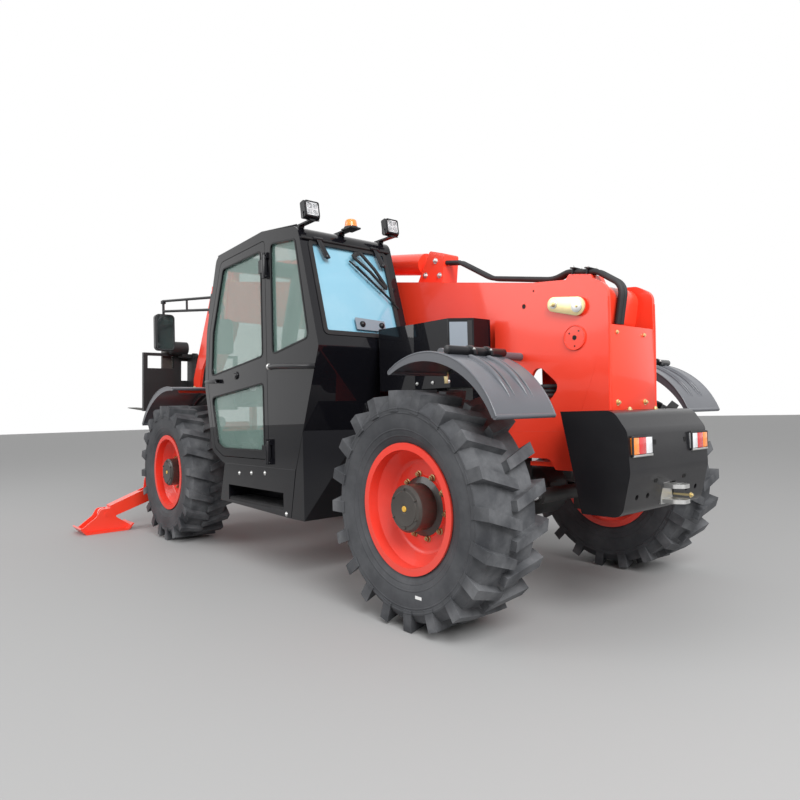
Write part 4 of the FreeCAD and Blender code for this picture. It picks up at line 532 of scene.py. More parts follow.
class Forge:
    """Gathers simple forms in one mesh and hands it over as a piece."""

    def __init__(self) -> None:
        """Starts an empty mesh."""
        self.mesh = bmesh.new()

    def _round(self, verts: Iterable[bmesh.types.BMVert], width: float) -> None:
        """Bevels the edges of what was just added.

        Args:
            verts: The vertices just added.
            width: The bevel's width; nothing happens at 0.
        """
        if width <= 0.0:
            return
        edges = {edge for vert in verts for edge in vert.link_edges if edge.calc_face_angle(0.0) > 0.6}
        bmesh.ops.bevel(self.mesh, geom=list(edges), offset=width, segments=2, profile=0.5, affect="EDGES")

    def block(self, low: Vector, high: Vector, bevel: float = 0.0, turn: Matrix | None = None) -> None:
        """Adds a block between two corners.

        Args:
            low: Lowest corner.
            high: Highest corner.
            bevel: Width of its rounded edges.
            turn: A turn about its middle.
        """
        size = high - low
        stretch = Matrix.Diagonal((*size, 1.0))
        place = Matrix.Translation((low + high) / 2) @ (turn or Matrix.Identity(4)) @ stretch
        made = bmesh.ops.create_cube(self.mesh, size=1.0, matrix=place)
        self._round(made["verts"], bevel)

    def rod(self, start: Vector, end: Vector, radius: float, sides: int = 24, tip: float | None = None,
            bevel: float = 0.0) -> None:
        """Adds a round bar or a cone between two points.

        Args:
            start: Middle of one end.
            end: Middle of the other.
            radius: Radius at the start.
            sides: Flats around it.
            tip: Radius at the end, the same by default.
            bevel: Width of the rounded rims.
        """
        way = end - start
        place = Matrix.Translation((start + end) / 2) @ square_to(way)
        made = bmesh.ops.create_cone(self.mesh, cap_ends=True, segments=sides, radius1=radius,
                                     radius2=radius if tip is None else tip, depth=way.length, matrix=place)
        self._round(made["verts"], bevel)

    def bolt(self, spot: Vector, axis: Vector, radius: float, washer: bool = True) -> None:
        """Adds a hexagon head on its washer, with the end of the thread.

        Args:
            spot: Where the washer sits.
            axis: Way that the head points.
            radius: Radius over the flats' corners.
            washer: Whether there is one.
        """
        up = axis.normalized()
        rise = radius * 0.18 if washer else 0.0
        if washer:
            self.rod(spot - up * 0.0005, spot + up * rise, radius * 1.45, 18)
        self.rod(spot + up * (rise - 0.0005), spot + up * (rise + radius * 0.85), radius, 6,
                 bevel=radius * 0.08)
        self.rod(spot + up * rise, spot + up * (rise + radius * 1.25), radius * 0.52, 12)

    def lathe(self, profile: Profile, centre: Vector, axis: Vector, sides: int = 48) -> None:
        """Turns a profile about an axis.

        Args:
            profile: Points as (distance along the axis, radius); a radius of 0 closes it.
            centre: Where distance 0 lies.
            axis: The axis.
            sides: Steps around it.
        """
        place = Matrix.Translation(centre) @ square_to(axis)
        rings: list[list[bmesh.types.BMVert]] = []
        for along, radius in profile:
            count = 1 if radius == 0.0 else sides
            rings.append([self.mesh.verts.new(place @ Vector((
                radius * math.cos(math.tau * i / sides), radius * math.sin(math.tau * i / sides), along)))
                for i in range(count)])
        for one, two in zip(rings, rings[1:]):
            for i in range(sides):
                loop = [one[i % len(one)], one[(i + 1) % len(one)],
                        two[(i + 1) % len(two)], two[i % len(two)]]
                corners = list(dict.fromkeys(loop))
                if len(corners) > 2:
                    self.mesh.faces.new(corners)

    def ring(self, centre: Vector, axis: Vector, radius: float, thick: float, sides: int = 64,
             flats: int = 8) -> None:
        """Adds a round ring of round section.

        Args:
            centre: The ring's middle.
            axis: Its axis.
            radius: Radius of its centreline.
            thick: Radius of its section.
            sides: Steps around the ring.
            flats: Steps around its section.
        """
        points = [(thick * math.sin(math.tau * i / flats), radius + thick * math.cos(math.tau * i / flats))
                  for i in range(flats + 1)]
        self.lathe(points, centre, axis, sides)
        bmesh.ops.remove_doubles(self.mesh, verts=self.mesh.verts[:], dist=1e-6)

    def plate(self, outline: Sequence[Vector], thickness: Vector, bevel: float = 0.0) -> None:
        """Pushes a flat outline through a thickness.

        Args:
            outline: Its corners in order.
            thickness: The push.
            bevel: Width of its rounded edges.
        """
        near = [self.mesh.verts.new(point) for point in outline]
        far = [self.mesh.verts.new(point + thickness) for point in outline]
        faces = [self.mesh.faces.new(near), self.mesh.faces.new(list(reversed(far)))]
        for i in range(len(near)):
            j = (i + 1) % len(near)
            faces.append(self.mesh.faces.new([near[j], near[i], far[i], far[j]]))
        bmesh.ops.recalc_face_normals(self.mesh, faces=faces)
        self._round(near + far, bevel)

    def skin(self, rings: Sequence[Sequence[Vector]]) -> None:
        """Joins closed rings of points into one solid with flat ends.

        Args:
            rings: The rings in order, each with as many points.
        """
        rows = [[self.mesh.verts.new(point) for point in ring] for ring in rings]
        for one, two in zip(rows, rows[1:]):
            for i, vert in enumerate(one):
                j = (i + 1) % len(one)
                self.mesh.faces.new([vert, one[j], two[j], two[i]])
        self.mesh.faces.new(list(reversed(rows[0])))
        self.mesh.faces.new(rows[-1])

    def tube(self, stops: Sequence[Vector], radius: float, sides: int = 10) -> None:
        """Sweeps a round section along a line of stops.

        Args:
            stops: The line's points.
            radius: The section's radius.
            sides: Flats around it.
        """
        ways = [(b - a).normalized() for a, b in zip(stops, stops[1:])]
        ways = [ways[0]] + [(a + b).normalized() for a, b in zip(ways, ways[1:])] + [ways[-1]]
        side = ways[0].orthogonal().normalized()
        rings = []
        for stop, way in zip(stops, ways):
            side = (side - way * side.dot(way)).normalized()
            rings.append(arc(stop, side * radius, way.cross(side) * radius, 0, 360, sides)[:sides])
        self.skin(rings)

    def frame(self, outline: Sequence[Vector], outward: Vector, width: float, thickness: float) -> None:
        """Adds a flat border that runs around an outline, inwards by its width.

        Args:
            outline: The outer corners in order, in one plane.
            outward: The plane's normal.
            width: The border's width.
            thickness: How far it stands out along the normal.
        """
        middle = sum(outline, Vector()) / len(outline)
        inner = []
        count = len(outline)
        for i, corner in enumerate(outline):
            before = (corner - outline[i - 1]).normalized()
            after = (outline[(i + 1) % count] - corner).normalized()
            normals = [outward.cross(before), outward.cross(after)]
            if normals[0].dot(middle - corner) < 0.0:
                normals = [-n for n in normals]
            lean = (normals[0] + normals[1]).normalized()
            inner.append(corner + lean * (width / max(0.35, lean.dot(normals[0]))))
        step = outward.normalized() * thickness
        for i in range(count):
            j = (i + 1) % count
            verts = [self.mesh.verts.new(p) for p in (
                outline[i], outline[j], inner[j], inner[i],
                outline[i] + step, outline[j] + step, inner[j] + step, inner[i] + step)]
            quads = ((3, 2, 1, 0), (4, 5, 6, 7), (0, 1, 5, 4), (2, 3, 7, 6))
            faces = [self.mesh.faces.new([verts[k] for k in quad]) for quad in quads]
            bmesh.ops.recalc_face_normals(self.mesh, faces=faces)
        bmesh.ops.remove_doubles(self.mesh, verts=self.mesh.verts[:], dist=1e-5)

    def piece(self, name: str, body: str, finish: str, slot: Slot, smooth: float = 38.0) -> bpy.types.Object:
        """Hands the mesh over as one piece of the machine.

        Args:
            name: The piece's name.
            body: The CAD body that it rides on.
            finish: A key of FINISHES.
            slot: The record's slot; not used.
            smooth: Edges under this angle, in degrees, are shaded smooth.

        Returns:
            The object.
        """
        data = bpy.data.meshes.new(name)
        bmesh.ops.recalc_face_normals(self.mesh, faces=self.mesh.faces[:])
        self.mesh.to_mesh(data)
        self.mesh.free()
        item = bpy.data.objects.new(name, data)
        bpy.context.scene.collection.objects.link(item)
        data.materials.append(finish_of(finish))
        data.shade_smooth()
        data.set_sharp_from_angle(angle=math.radians(smooth))
        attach(item, body)
        LOG.info("piece %s on %s, %d faces", name, body, len(data.polygons))
        return item


def arc(centre: Vector, first: Vector, second: Vector, start: float, end: float, steps: int) -> list[Vector]:
    """Points along an arc.

    Args:
        centre: The arc's middle.
        first: Radius vector at 0 degrees.
        second: Radius vector at 90 degrees.
        start: First angle in degrees.
        end: Last angle in degrees.
        steps: Steps between them.

    Returns:
        The points.
    """
    angles = [math.radians(start + (end - start) * i / steps) for i in range(steps + 1)]
    return [centre + first * math.cos(a) + second * math.sin(a) for a in angles]


def soften(points: Sequence[Vector], radius: float, steps: int = 4) -> list[Vector]:
    """An outline with its corners rounded.

    Args:
        points: The corners in order.
        radius: Radius of each corner.
        steps: Steps in a corner.

    Returns:
        The rounded outline.
    """
    out = []
    for i, corner in enumerate(points):
        back = points[i - 1] - corner
        on = points[(i + 1) % len(points)] - corner
        reach = min(radius / math.tan(back.angle(on) / 2), back.length * 0.45, on.length * 0.45)
        start = corner + back.normalized() * reach
        end = corner + on.normalized() * reach
        for k in range(steps + 1):
            t = k / steps
            out.append(start * (1 - t) ** 2 + corner * 2 * t * (1 - t) + end * t ** 2)
    return out


LEFT = Vector((0.0, 1.0, 0.0))
UP = Vector((0.0, 0.0, 1.0))
AHEAD = Vector((1.0, 0.0, 0.0))


@dataclass(frozen=True)
class Coat:
    """The finish of some of the machine's fixed parts, and the width of their rounded edges."""

    nodes: tuple[str, ...]
    finish: str
    edge: float


@dataclass
class Bodywork:
    """Finishes and rounded edges on the parts that come from the CAD model."""

    corners: tuple[str, ...] = ("front_left", "front_right", "rear_left", "rear_right")
    weld: float = 0.00004
    sharp: float = math.radians(32.0)

    def build(self) -> None:
        """Lays every coat on its parts."""
        for coat in self.coats():
            for name in coat.nodes:
                self.lay(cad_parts[name], coat)

    def coats(self) -> list[Coat]:
        """A coat for every part of the machine."""
        return [
            Coat(("boom_mast", "boom_outer"), "red", 0.003),
            Coat(("boom_middle", "boom_inner", "top_cylinder", "chassis_frame", "stabiliser_beam"),
                 "red", 0.002),
            Coat(tuple(f"stabiliser_{part}_{side}" for part in ("leg", "foot") for side in ("left", "right")),
                 "red", 0.002),
            Coat(("cab_frame", "cab_door", "side_body", "engine_hood"), "black", 0.004),
            Coat(("cab_step", "engine_pod"), "black", 0.002),
            Coat(("mirrors", "road_lamps", "roof_lamps"), "satin", 0.0015),
            Coat(("counterweight",), "satin", 0.004),
            Coat(("front_axle", "rear_axle", "driveline", "engine_block", "fork_carriage", "lift_barrel",
                  "tilt_barrel", "stabiliser_barrel_left", "stabiliser_barrel_right", "exhaust"),
                 "frame", 0.0015),
            Coat(tuple(f"knuckle_{corner}" for corner in self.corners), "frame", 0.0015),
            Coat(tuple(f"rim_{corner}" for corner in self.corners), "rim_red", 0.0),
            Coat(tuple(f"tyre_{corner}" for corner in self.corners), "tyre", 0.004),
            Coat(("lift_rod", "tilt_rod", "stabiliser_rod_left", "stabiliser_rod_right",
                  "front_steering_rod", "rear_steering_rod"), "chrome", 0.001),
            Coat(("forks",), "fork", 0.002),
            Coat(("tow_hitch",), "silver", 0.0015),
            Coat(("fenders",), "plastic", 0.003),
            Coat(("cab_controls", "cab_seat"), "trim", 0.003),
            Coat(("cab_glass", "door_glass"), "glass", 0.0),
            Coat(("boom_hoses", "mast_hoses"), "hose", 0.0),
        ]

    def lay(self, item: bpy.types.Object, coat: Coat) -> None:
        """Puts a finish on a part and rounds its edges.

        Args:
            item: The part's object.
            coat: Its finish and edge width.
        """
        for slot in item.material_slots:
            slot.material = finish_of(coat.finish)
        if not item.material_slots:
            item.data.materials.append(finish_of(coat.finish))
        if coat.edge > 0.0:
            weld = item.modifiers.new("weld", "WELD")
            weld.merge_threshold = self.weld
            bevel = item.modifiers.new("edges", "BEVEL")
            bevel.limit_method = "ANGLE"
            bevel.angle_limit = self.sharp
            bevel.width = coat.edge
            bevel.segments = 2
            bevel.use_clamp_overlap = True
            normals = item.modifiers.new("normals", "WEIGHTED_NORMAL")
            normals.keep_sharp = True


@dataclass
class WheelDress:
    """Hub, nuts, valve and filler plug of one wheel, on the body that turns."""

    corner: str
    centre: Vector
    side: float
    hub: Profile = ((0.0508, 0.152), (0.0512, 0.1512), (0.0606, 0.1196), (0.1575, 0.1192), (0.1702, 0.1068),
                    (0.1704, 0.090), (0.1745, 0.086), (0.1745, 0.024), (0.1725, 0.022), (0.1725, 0.0))
    hub_face: float = 0.1725
    hub_screws: int = 6
    hub_screw_circle: float = 0.097
    seat: float = 0.0505
    nuts: int = 10
    nut_circle: float = 0.164
    nut: float = 0.0135
    valve_turn: float = 225.0
    label_spot: Vector = field(default_factory=lambda: Vector((-0.115, 0.1950, -0.413)))

    def build(self) -> None:
        """Builds the hub and what is bolted to the wheel."""
        out = LEFT * self.side
        body = f"wheel_{self.corner}"
        hub = Forge()
        hub.lathe(self.hub, self.centre, out, 64)
        for i in range(self.hub_screws):
            spot = self.spot(self.hub_face + 0.0005, self.hub_screw_circle, 360 / self.hub_screws * i + 30)
            hub.bolt(spot - out * 0.002, out, 0.0062, False)
        hub.piece(f"hub_{self.corner}", body, "hub", Slot.SATIN)
        nuts = Forge()
        for i in range(self.nuts):
            spot = self.spot(self.seat, self.nut_circle, 360 / self.nuts * i + 8)
            nuts.lathe([(0.0, 0.0), (0.0, 0.020), (0.004, 0.019), (0.006, 0.014)],
                       spot - out * 0.0095, out, 18)
            nuts.bolt(spot - out * 0.004, out, self.nut, False)
        nuts.piece(f"nuts_{self.corner}", body, "nut", Slot.ZINC)
        trim = Forge()
        trim.lathe([(0.172, 0.0155), (0.1765, 0.014), (0.1775, 0.0)], self.centre, out, 24)
        trim.piece(f"hub_plug_{self.corner}", body, "yellow", Slot.ZINC)
        valve = Forge()
        for (start, low), (end, high), radius in (((0.036, 0.262), (0.085, 0.270), 0.0055),
                                                  ((0.083, 0.2698), (0.098, 0.2716), 0.0075)):
            valve.rod(self.spot(start, low, self.valve_turn), self.spot(end, high, self.valve_turn),
                      radius, 12)
        valve.piece(f"valve_{self.corner}", body, "steel", Slot.STEEL)

    def label(self) -> None:
        """Sticks a blank paper label on the tyre's outer sidewall."""
        spot = self.centre + self.label_spot * Vector((1.0, self.side, 1.0))
        paper = Forge()
        paper.block(spot - Vector((0.0225, 0.0020, 0.0075)), spot + Vector((0.0225, 0.0010, 0.0075)))
        paper.piece(f"tyre_label_{self.corner}", f"wheel_{self.corner}", "label", Slot.PLASTIC)

    def spot(self, along: float, radius: float, degrees: float) -> Vector:
        """A point outwards of the tyre's middle plane, at a radius and an angle.

        Args:
            along: Distance outwards.
            radius: Distance from the axle's line.
            degrees: Angle, from straight ahead towards the top.

        Returns:
            The point.
        """
        turn = math.radians(degrees)
        return self.centre + Vector((math.cos(turn) * radius, self.side * along, math.sin(turn) * radius))


@dataclass
class Lamps:
    """Lenses, bezels and cooling fins of every lamp, and the beacon's cover."""

    tail_y: float = 0.293
    tail_glass: tuple[Spot, ...] = ((0.085, 0.036), (0.035, -0.028), (-0.029, -0.085))
    tail_box: tuple[Spot, ...] = ((-0.091, 0.840), (0.091, 0.840), (0.091, 0.938), (-0.091, 0.938))
    tail_u: float = -0.8424
    hole_slant: Vector = field(default_factory=lambda: Vector((-0.973, 0.0, -0.232)))
    work_y: Spot = (0.94, 0.28)
    work_half: float = 0.052
    cell_pitch: float = 0.028
    cell: Profile = ((0.0, 0.0), (0.0, 0.004), (0.0035, 0.0125), (0.0, 0.0135))
    fins: int = 6
    fin_pitch: float = 0.0168
    beacon_cover: Profile = ((0.010, 0.0), (0.010, 0.0425), (0.030, 0.0410), (0.050, 0.0385),
                             (0.058, 0.0325), (0.0625, 0.020), (0.064, 0.0))
    beacon_foot: Profile = ((0.0, 0.047), (0.010, 0.047), (0.012, 0.043), (0.012, 0.0))
    head_glass: Profile = ((0.0, 0.058), (0.006, 0.054), (0.0095, 0.036), (0.011, 0.0))

    def build(self) -> None:
        """Builds all lamps' glass and trim."""
        self.tails()
        self.work_lamps()
        self.beacon()
        self.heads()

    def tails(self) -> None:
        """Tail lamps, amber, red and clear from outside in, over a bright lip; and black marks of painted
        shade in the holes beside them.
        """
        lenses = {"amber": Forge(), "red_lens": Forge(), "clear": Forge()}
        surround, lip, holes = Forge(), Forge(), Forge()
        for s in (1, -1):
            y = self.tail_y * s
            corners = [at(self.tail_u, y + dy, z) for dy, z in self.tail_box]
            surround.frame(soften(corners, 0.010), -AHEAD, 0.007, 0.008)
            for lens, (outer, inner) in zip(lenses.values(), self.tail_glass):
                ends = sorted((y + outer * s, y + inner * s))
                lens.block(at(-0.8510, ends[0], 0.850), at(-0.8300, ends[1], 0.930), 0.004)
            lip.block(at(-0.8520, y - 0.088, 0.838), at(-0.8410, y + 0.088, 0.848), 0.002)
            # black marks in the counterweight's holes: painted shade
            holes.block(at(-0.8345, 0.155 * s - 0.012, 0.888), at(-0.8325, 0.155 * s + 0.012, 0.912))
            for dy in (-0.008, 0.008):
                spot = at(-0.8280, 0.145 * s, 0.710) + LEFT * dy
                holes.rod(spot - self.hole_slant * 0.002, spot + self.hole_slant * 0.0012, 0.011, 16)
        for finish, lens in lenses.items():
            lens.piece(f"tail_{finish}", "root", finish, Slot.LAMP)
        surround.piece("tail_lamp_surround", "root", "trim", Slot.PLASTIC)
        lip.piece("tail_lamp_lips", "root", "silver", Slot.STEEL)
        holes.piece("counterweight_hole_shade", "root", "hole_shade", Slot.RUBBER)
        bolt = Forge()
        bolt.bolt(at(-0.8950, -0.070, 0.623), -AHEAD, 0.010)
        bolt.rod(at(-0.8960, -0.070, 0.623), at(-0.8000, -0.070, 0.623), 0.006, 12)
        bolt.piece("hitch_bolt", "root", "zinc", Slot.ZINC)

    def work_lamps(self) -> None:
        """Square work lamps: bezel, reflector cells and fins behind."""
        low, high = at(0.985, 0, 2.330), at(1.000, 0, 2.440)
        rise = (high - low).normalized()
        back = rise.cross(LEFT).normalized()
        if back.x > 0:
            back = -back
        bezel, cells, fins, lens = Forge(), Forge(), Forge(), Forge()
        for y in self.work_y:
            middle = (low + high) / 2 + LEFT * y
            corners = [middle + LEFT * (a * self.work_half) + rise * (b * self.work_half)
                       for a, b in ((1, 1), (-1, 1), (-1, -1), (1, -1))]
            bezel.frame(soften(corners, 0.012), back, 0.009, 0.007)
            for across in (-1, 0, 1):
                for over in (-1, 0, 1):
                    spot = middle + LEFT * (self.cell_pitch * across) + rise * (self.cell_pitch * over)
                    cells.lathe(self.cell, spot + back * 0.0006, back, 16)
            lens.frame(soften([c * 0.999 + middle * 0.001 for c in corners], 0.012), back, 0.05, 0.0052)
            for i in range(self.fins):
                spot = middle - back * 0.040 + LEFT * (self.fin_pitch * (i - (self.fins - 1) / 2))
                fins.block(spot - LEFT * 0.0014 - UP * 0.040 - AHEAD * 0.004,
                           spot + LEFT * 0.0014 + UP * 0.040 + AHEAD * 0.024)
            for out in (LEFT, -LEFT):
                pivot = middle - rise * 0.02 - back * 0.024
                fins.rod(pivot + out * 0.05, pivot + out * 0.062, 0.008, 12, bevel=0.001)
                fins.tube([pivot + out * 0.060, pivot + out * 0.060 - rise * 0.040,
                           pivot + out * 0.012 - rise * 0.048], 0.004, 8)
        bezel.piece("work_lamp_bezels", "root", "satin", Slot.SATIN)
        cells.piece("work_lamp_cells", "root", "reflector", Slot.LAMP)
        lens.piece("work_lamp_lenses", "root", "clear", Slot.LAMP)
        fins.piece("work_lamp_fins", "root", "satin", Slot.SATIN)

    def beacon(self) -> None:
        """Amber cover over the beacon, and its black foot ring."""
        centre = at(1.010, 0.625, 2.3155)
        cover = Forge()
        cover.lathe(self.beacon_cover, centre, UP, 40)
        cover.piece("beacon_cover", "root", "amber", Slot.LAMP)
        foot = Forge()
        foot.lathe(self.beacon_foot, centre, UP, 40)
        foot.piece("beacon_foot", "root", "trim", Slot.PLASTIC)

    def heads(self) -> None:
        """Head lamps' lenses with a steel ring."""
        lens, ring = Forge(), Forge()
        for s in (1, -1):
            centre = at(3.840 + 0.0835, 0.290 * s, 1.022)
            lens.lathe(self.head_glass, centre, AHEAD, 40)
            ring.ring(centre - AHEAD * 0.002, AHEAD, 0.0605, 0.0045, 48)
        lens.piece("head_lamp_lenses", "root", "clear", Slot.LAMP)
        ring.piece("head_lamp_rings", "root", "steel", Slot.STEEL)


@dataclass
class MastDress:
    """Rear corners and cover of the uprights, lock plates, bosses and bolts, and black discs of painted shade
    in the holes.
    """

    face: float = 0.235
    inner: float = 0.220
    foot: float = 1.0605
    cover_top: float = 1.500
    cover_u: float = -0.640
    cover_lean: float = 0.006
    cover_half: float = 0.2195
    corner_plate: tuple[Spot, ...] = ((-0.4752, 1.0605), (-0.6400, 1.0605), (-0.6496, 1.4995))
    lock_ends: tuple[Spot, Spot] = ((-0.480, 1.612), (-0.333, 1.642))
    boss: Spot = (-0.450, 1.450)
    boss_holes: tuple[tuple[float, float, float], ...] = (
        (0.0, 0.0, 0.013), (0.031, 0.025, 0.0045), (-0.027, 0.033, 0.0045), (0.0, -0.045, 0.0045))
    side_holes: tuple[tuple[float, float, float], ...] = ((-0.115, 1.664, 0.013), (-0.186, 1.742, 0.005))

    def build(self) -> None:
        """Builds both sides, then the back."""
        self.rear_corners()
        zinc, hole_shade_discs, red, silver = Forge(), Forge(), Forge(), Forge()
        for s in (1, -1):
            out = LEFT * s
            back, front = (at(u, s * 0.2475, z) for u, z in self.lock_ends)
            way = (front - back).normalized()
            over = out.cross(way).normalized()
            outline = arc(back, -way * 0.050, over * 0.050, -90, 90, 14)
            outline += arc(front, way * 0.040, -over * 0.040, -90, 90, 14)
            zinc.plate(outline, out * 0.010, 0.0015)
            silver.rod(back + out * 0.0095, back + out * 0.0135, 0.033, 32, bevel=0.001)
            zinc.bolt(back + out * 0.0130, out, 0.0075, False)
            silver.rod(front + out * 0.0095, front + out * 0.0125, 0.024, 24, bevel=0.0008)
            zinc.bolt(front + out * 0.0120, out, 0.0150, False)
            red.rod(front - out * 0.013, front, 0.030, 20)
            middle = at(self.boss[0], s * 0.2409, self.boss[1])
            red.ring(middle + out * 0.0006, out, 0.0640, 0.0028, 56)
            # black discs in the boss's and the sides' holes: painted shade
            for du, dz, radius in self.boss_holes:
                spot = middle + AHEAD * du + UP * dz
                hole_shade_discs.rod(spot, spot + out * 0.0012, radius, 20)
            for u, z, radius in self.side_holes:
                spot = at(u, s * self.face, z)
                hole_shade_discs.rod(spot, spot + out * 0.0008, radius, 18)
                red.ring(spot + out * 0.0006, out, radius + 0.0015, 0.0012, 24, 6)
        for y in (0.165, -0.105):
            for z in (1.100, 1.462):
                zinc.bolt(at(self.cover_u - 0.0062, y, z), -AHEAD, 0.0115)
        for y in (0.130, -0.130):
            zinc.bolt(at(-0.690, y, 1.0600), UP, 0.0115)
        zinc.piece("mast_zinc_fittings", "root", "zinc", Slot.ZINC)
        silver.piece("mast_pin_caps", "root", "silver", Slot.STEEL)
        hole_shade_discs.piece("mast_hole_shade", "root", "hole_shade", Slot.RUBBER)
        red.piece("mast_raised_rings", "root", "red", Slot.RED)

    def rear_corners(self) -> None:
        """Upright rear corners that close the uprights to the vertical cover plate."""
        plates = Forge()
        for s in (1, -1):
            plates.plate([at(u, self.inner * s, z) for u, z in self.corner_plate],
                         LEFT * ((self.face - self.inner) * s))
        low, high = self.cover_u, self.cover_u - self.cover_lean
        plates.plate([at(low, -self.cover_half, self.foot), at(low, self.cover_half, self.foot),
                      at(high, self.cover_half, self.cover_top), at(high, -self.cover_half, self.cover_top)],
                     -AHEAD * 0.006, 0.001)
        for y in (0.2270, -0.2270):
            plates.tube([at(-0.6415, y, self.foot + 0.002), at(-0.6505, y, self.cover_top),
                         at(-0.6505, y, 1.640)], 0.0055, 8)
        plates.piece("mast_rear_corners", "root", "red", Slot.RED)


@dataclass
class BoomDress:
    """Bolts, straps and clamps on the boom's sections."""

    half: float = 0.180
    over: float = 0.131
    end: float = 4.550
    hose_sides: Spot = (-0.009, 0.057)
    hose_top: float = 0.092
    strap_places: tuple[float, ...] = (0.095, 0.190)
    bracket_bolts: tuple[Spot, ...] = ((1.275, 0.06), (1.330, 0.16), (1.420, 0.06))
    head_pin: Vector = field(default_factory=lambda: Vector((REAR_AXLE_X + 4.880, 0.150, 1.400)))

    def build(self) -> None:
        """Builds what rides on the outer boom, then the head's."""
        zinc, satin, silver = Forge(), Forge(), Forge()
        along = on_boom(1, 0, 0) - on_boom(0, 0, 0)
        above = on_boom(0, 0, 1) - on_boom(0, 0, 0)
        tilt = Matrix.Rotation(-BOOM_ANGLE, 4, "Y")
        for place in (self.end - 0.105, self.end - 0.035):
            for s in (1, -1):
                for h in (-0.20, -0.075, 0.05):
                    zinc.bolt(on_boom(place, s * (self.half + 0.0102), h), LEFT * s, 0.012)
                zinc.bolt(on_boom(place, 0.10 * s, self.over + 0.0102), above, 0.012)
        for s, h in self.bracket_bolts:
            for side in (1, -1):
                silver.bolt(on_boom(s, 0.0702 * side, self.over + h), LEFT * side, 0.014)
        for place in self.strap_places:
            middle = on_boom(place, sum(self.hose_sides) / 2, self.over + self.hose_top + 0.004)
            half = Vector((0.016, (self.hose_sides[1] - self.hose_sides[0]) / 2 + 0.014, 0.004))
            satin.block(middle - half, middle + half, 0.002, tilt)
            for y in (self.hose_sides[0] - 0.006, self.hose_sides[1] + 0.006):
                foot = on_boom(place, y, self.over + 0.062)
                satin.rod(foot, foot + above * 0.038, 0.006, 10)
                silver.bolt(foot + above * 0.038, above, 0.0075)
        for s in (2.23, 3.33):
            satin.ring(on_boom(s, 0, self.over + 0.148), along, 0.0795, 0.004, 48)
        zinc.piece("boom_bolts", "boom", "zinc", Slot.ZINC)
        silver.piece("boom_bracket_bolts", "boom", "silver", Slot.STEEL)
        satin.piece("boom_clamps", "boom", "satin", Slot.SATIN)
        head = Forge()
        for s in (1, -1):
            out = LEFT * s
            spot = self.head_pin * Vector((1.0, s, 1.0))
            head.rod(spot, spot + out * 0.006, 0.052, 28, bevel=0.001)
            for rise in (0.036, -0.036):
                head.bolt(spot + out * 0.006 + UP * rise, out, 0.008)
        head.piece("head_pin_plates", "boom_inner", "zinc", Slot.ZINC)


@dataclass(frozen=True)
class Arch:
    """A mudguard's outside curve, as three points ahead of the rear axle and above the ground."""

    marks: tuple[Spot, Spot, Spot]
    ribs_start: float
    ribs_end: float

    def circle(self) -> tuple[float, float, float]:
        """Middle and radius of the curve."""
        (ax, az), (bx, bz), (cx, cz) = self.marks
        d = 2 * (ax * (bz - cz) + bx * (cz - az) + cx * (az - bz))
        a, b, c = (x * x + z * z for x, z in self.marks)
        u = (a * (bz - cz) + b * (cz - az) + c * (az - bz)) / d
        z = (a * (cx - bx) + b * (ax - cx) + c * (bx - ax)) / d
        return u, z, math.hypot(ax - u, az - z)

    def spot(self, share: float, y: float, lift: float) -> Vector:
        """A point over the mudguard.

        Args:
            share: Share of the arc, from the first mark to the last.
            y: Distance from the centre plane.
            lift: Height above the curve.

        Returns:
            The point.
        """
        u, z, radius = self.circle()
        first = math.atan2(self.marks[0][1] - z, self.marks[0][0] - u)
        last = math.atan2(self.marks[2][1] - z, self.marks[2][0] - u)
        turn = first + (last - first) * share
        return at(u + math.cos(turn) * (radius + lift), y, z + math.sin(turn) * (radius + lift))


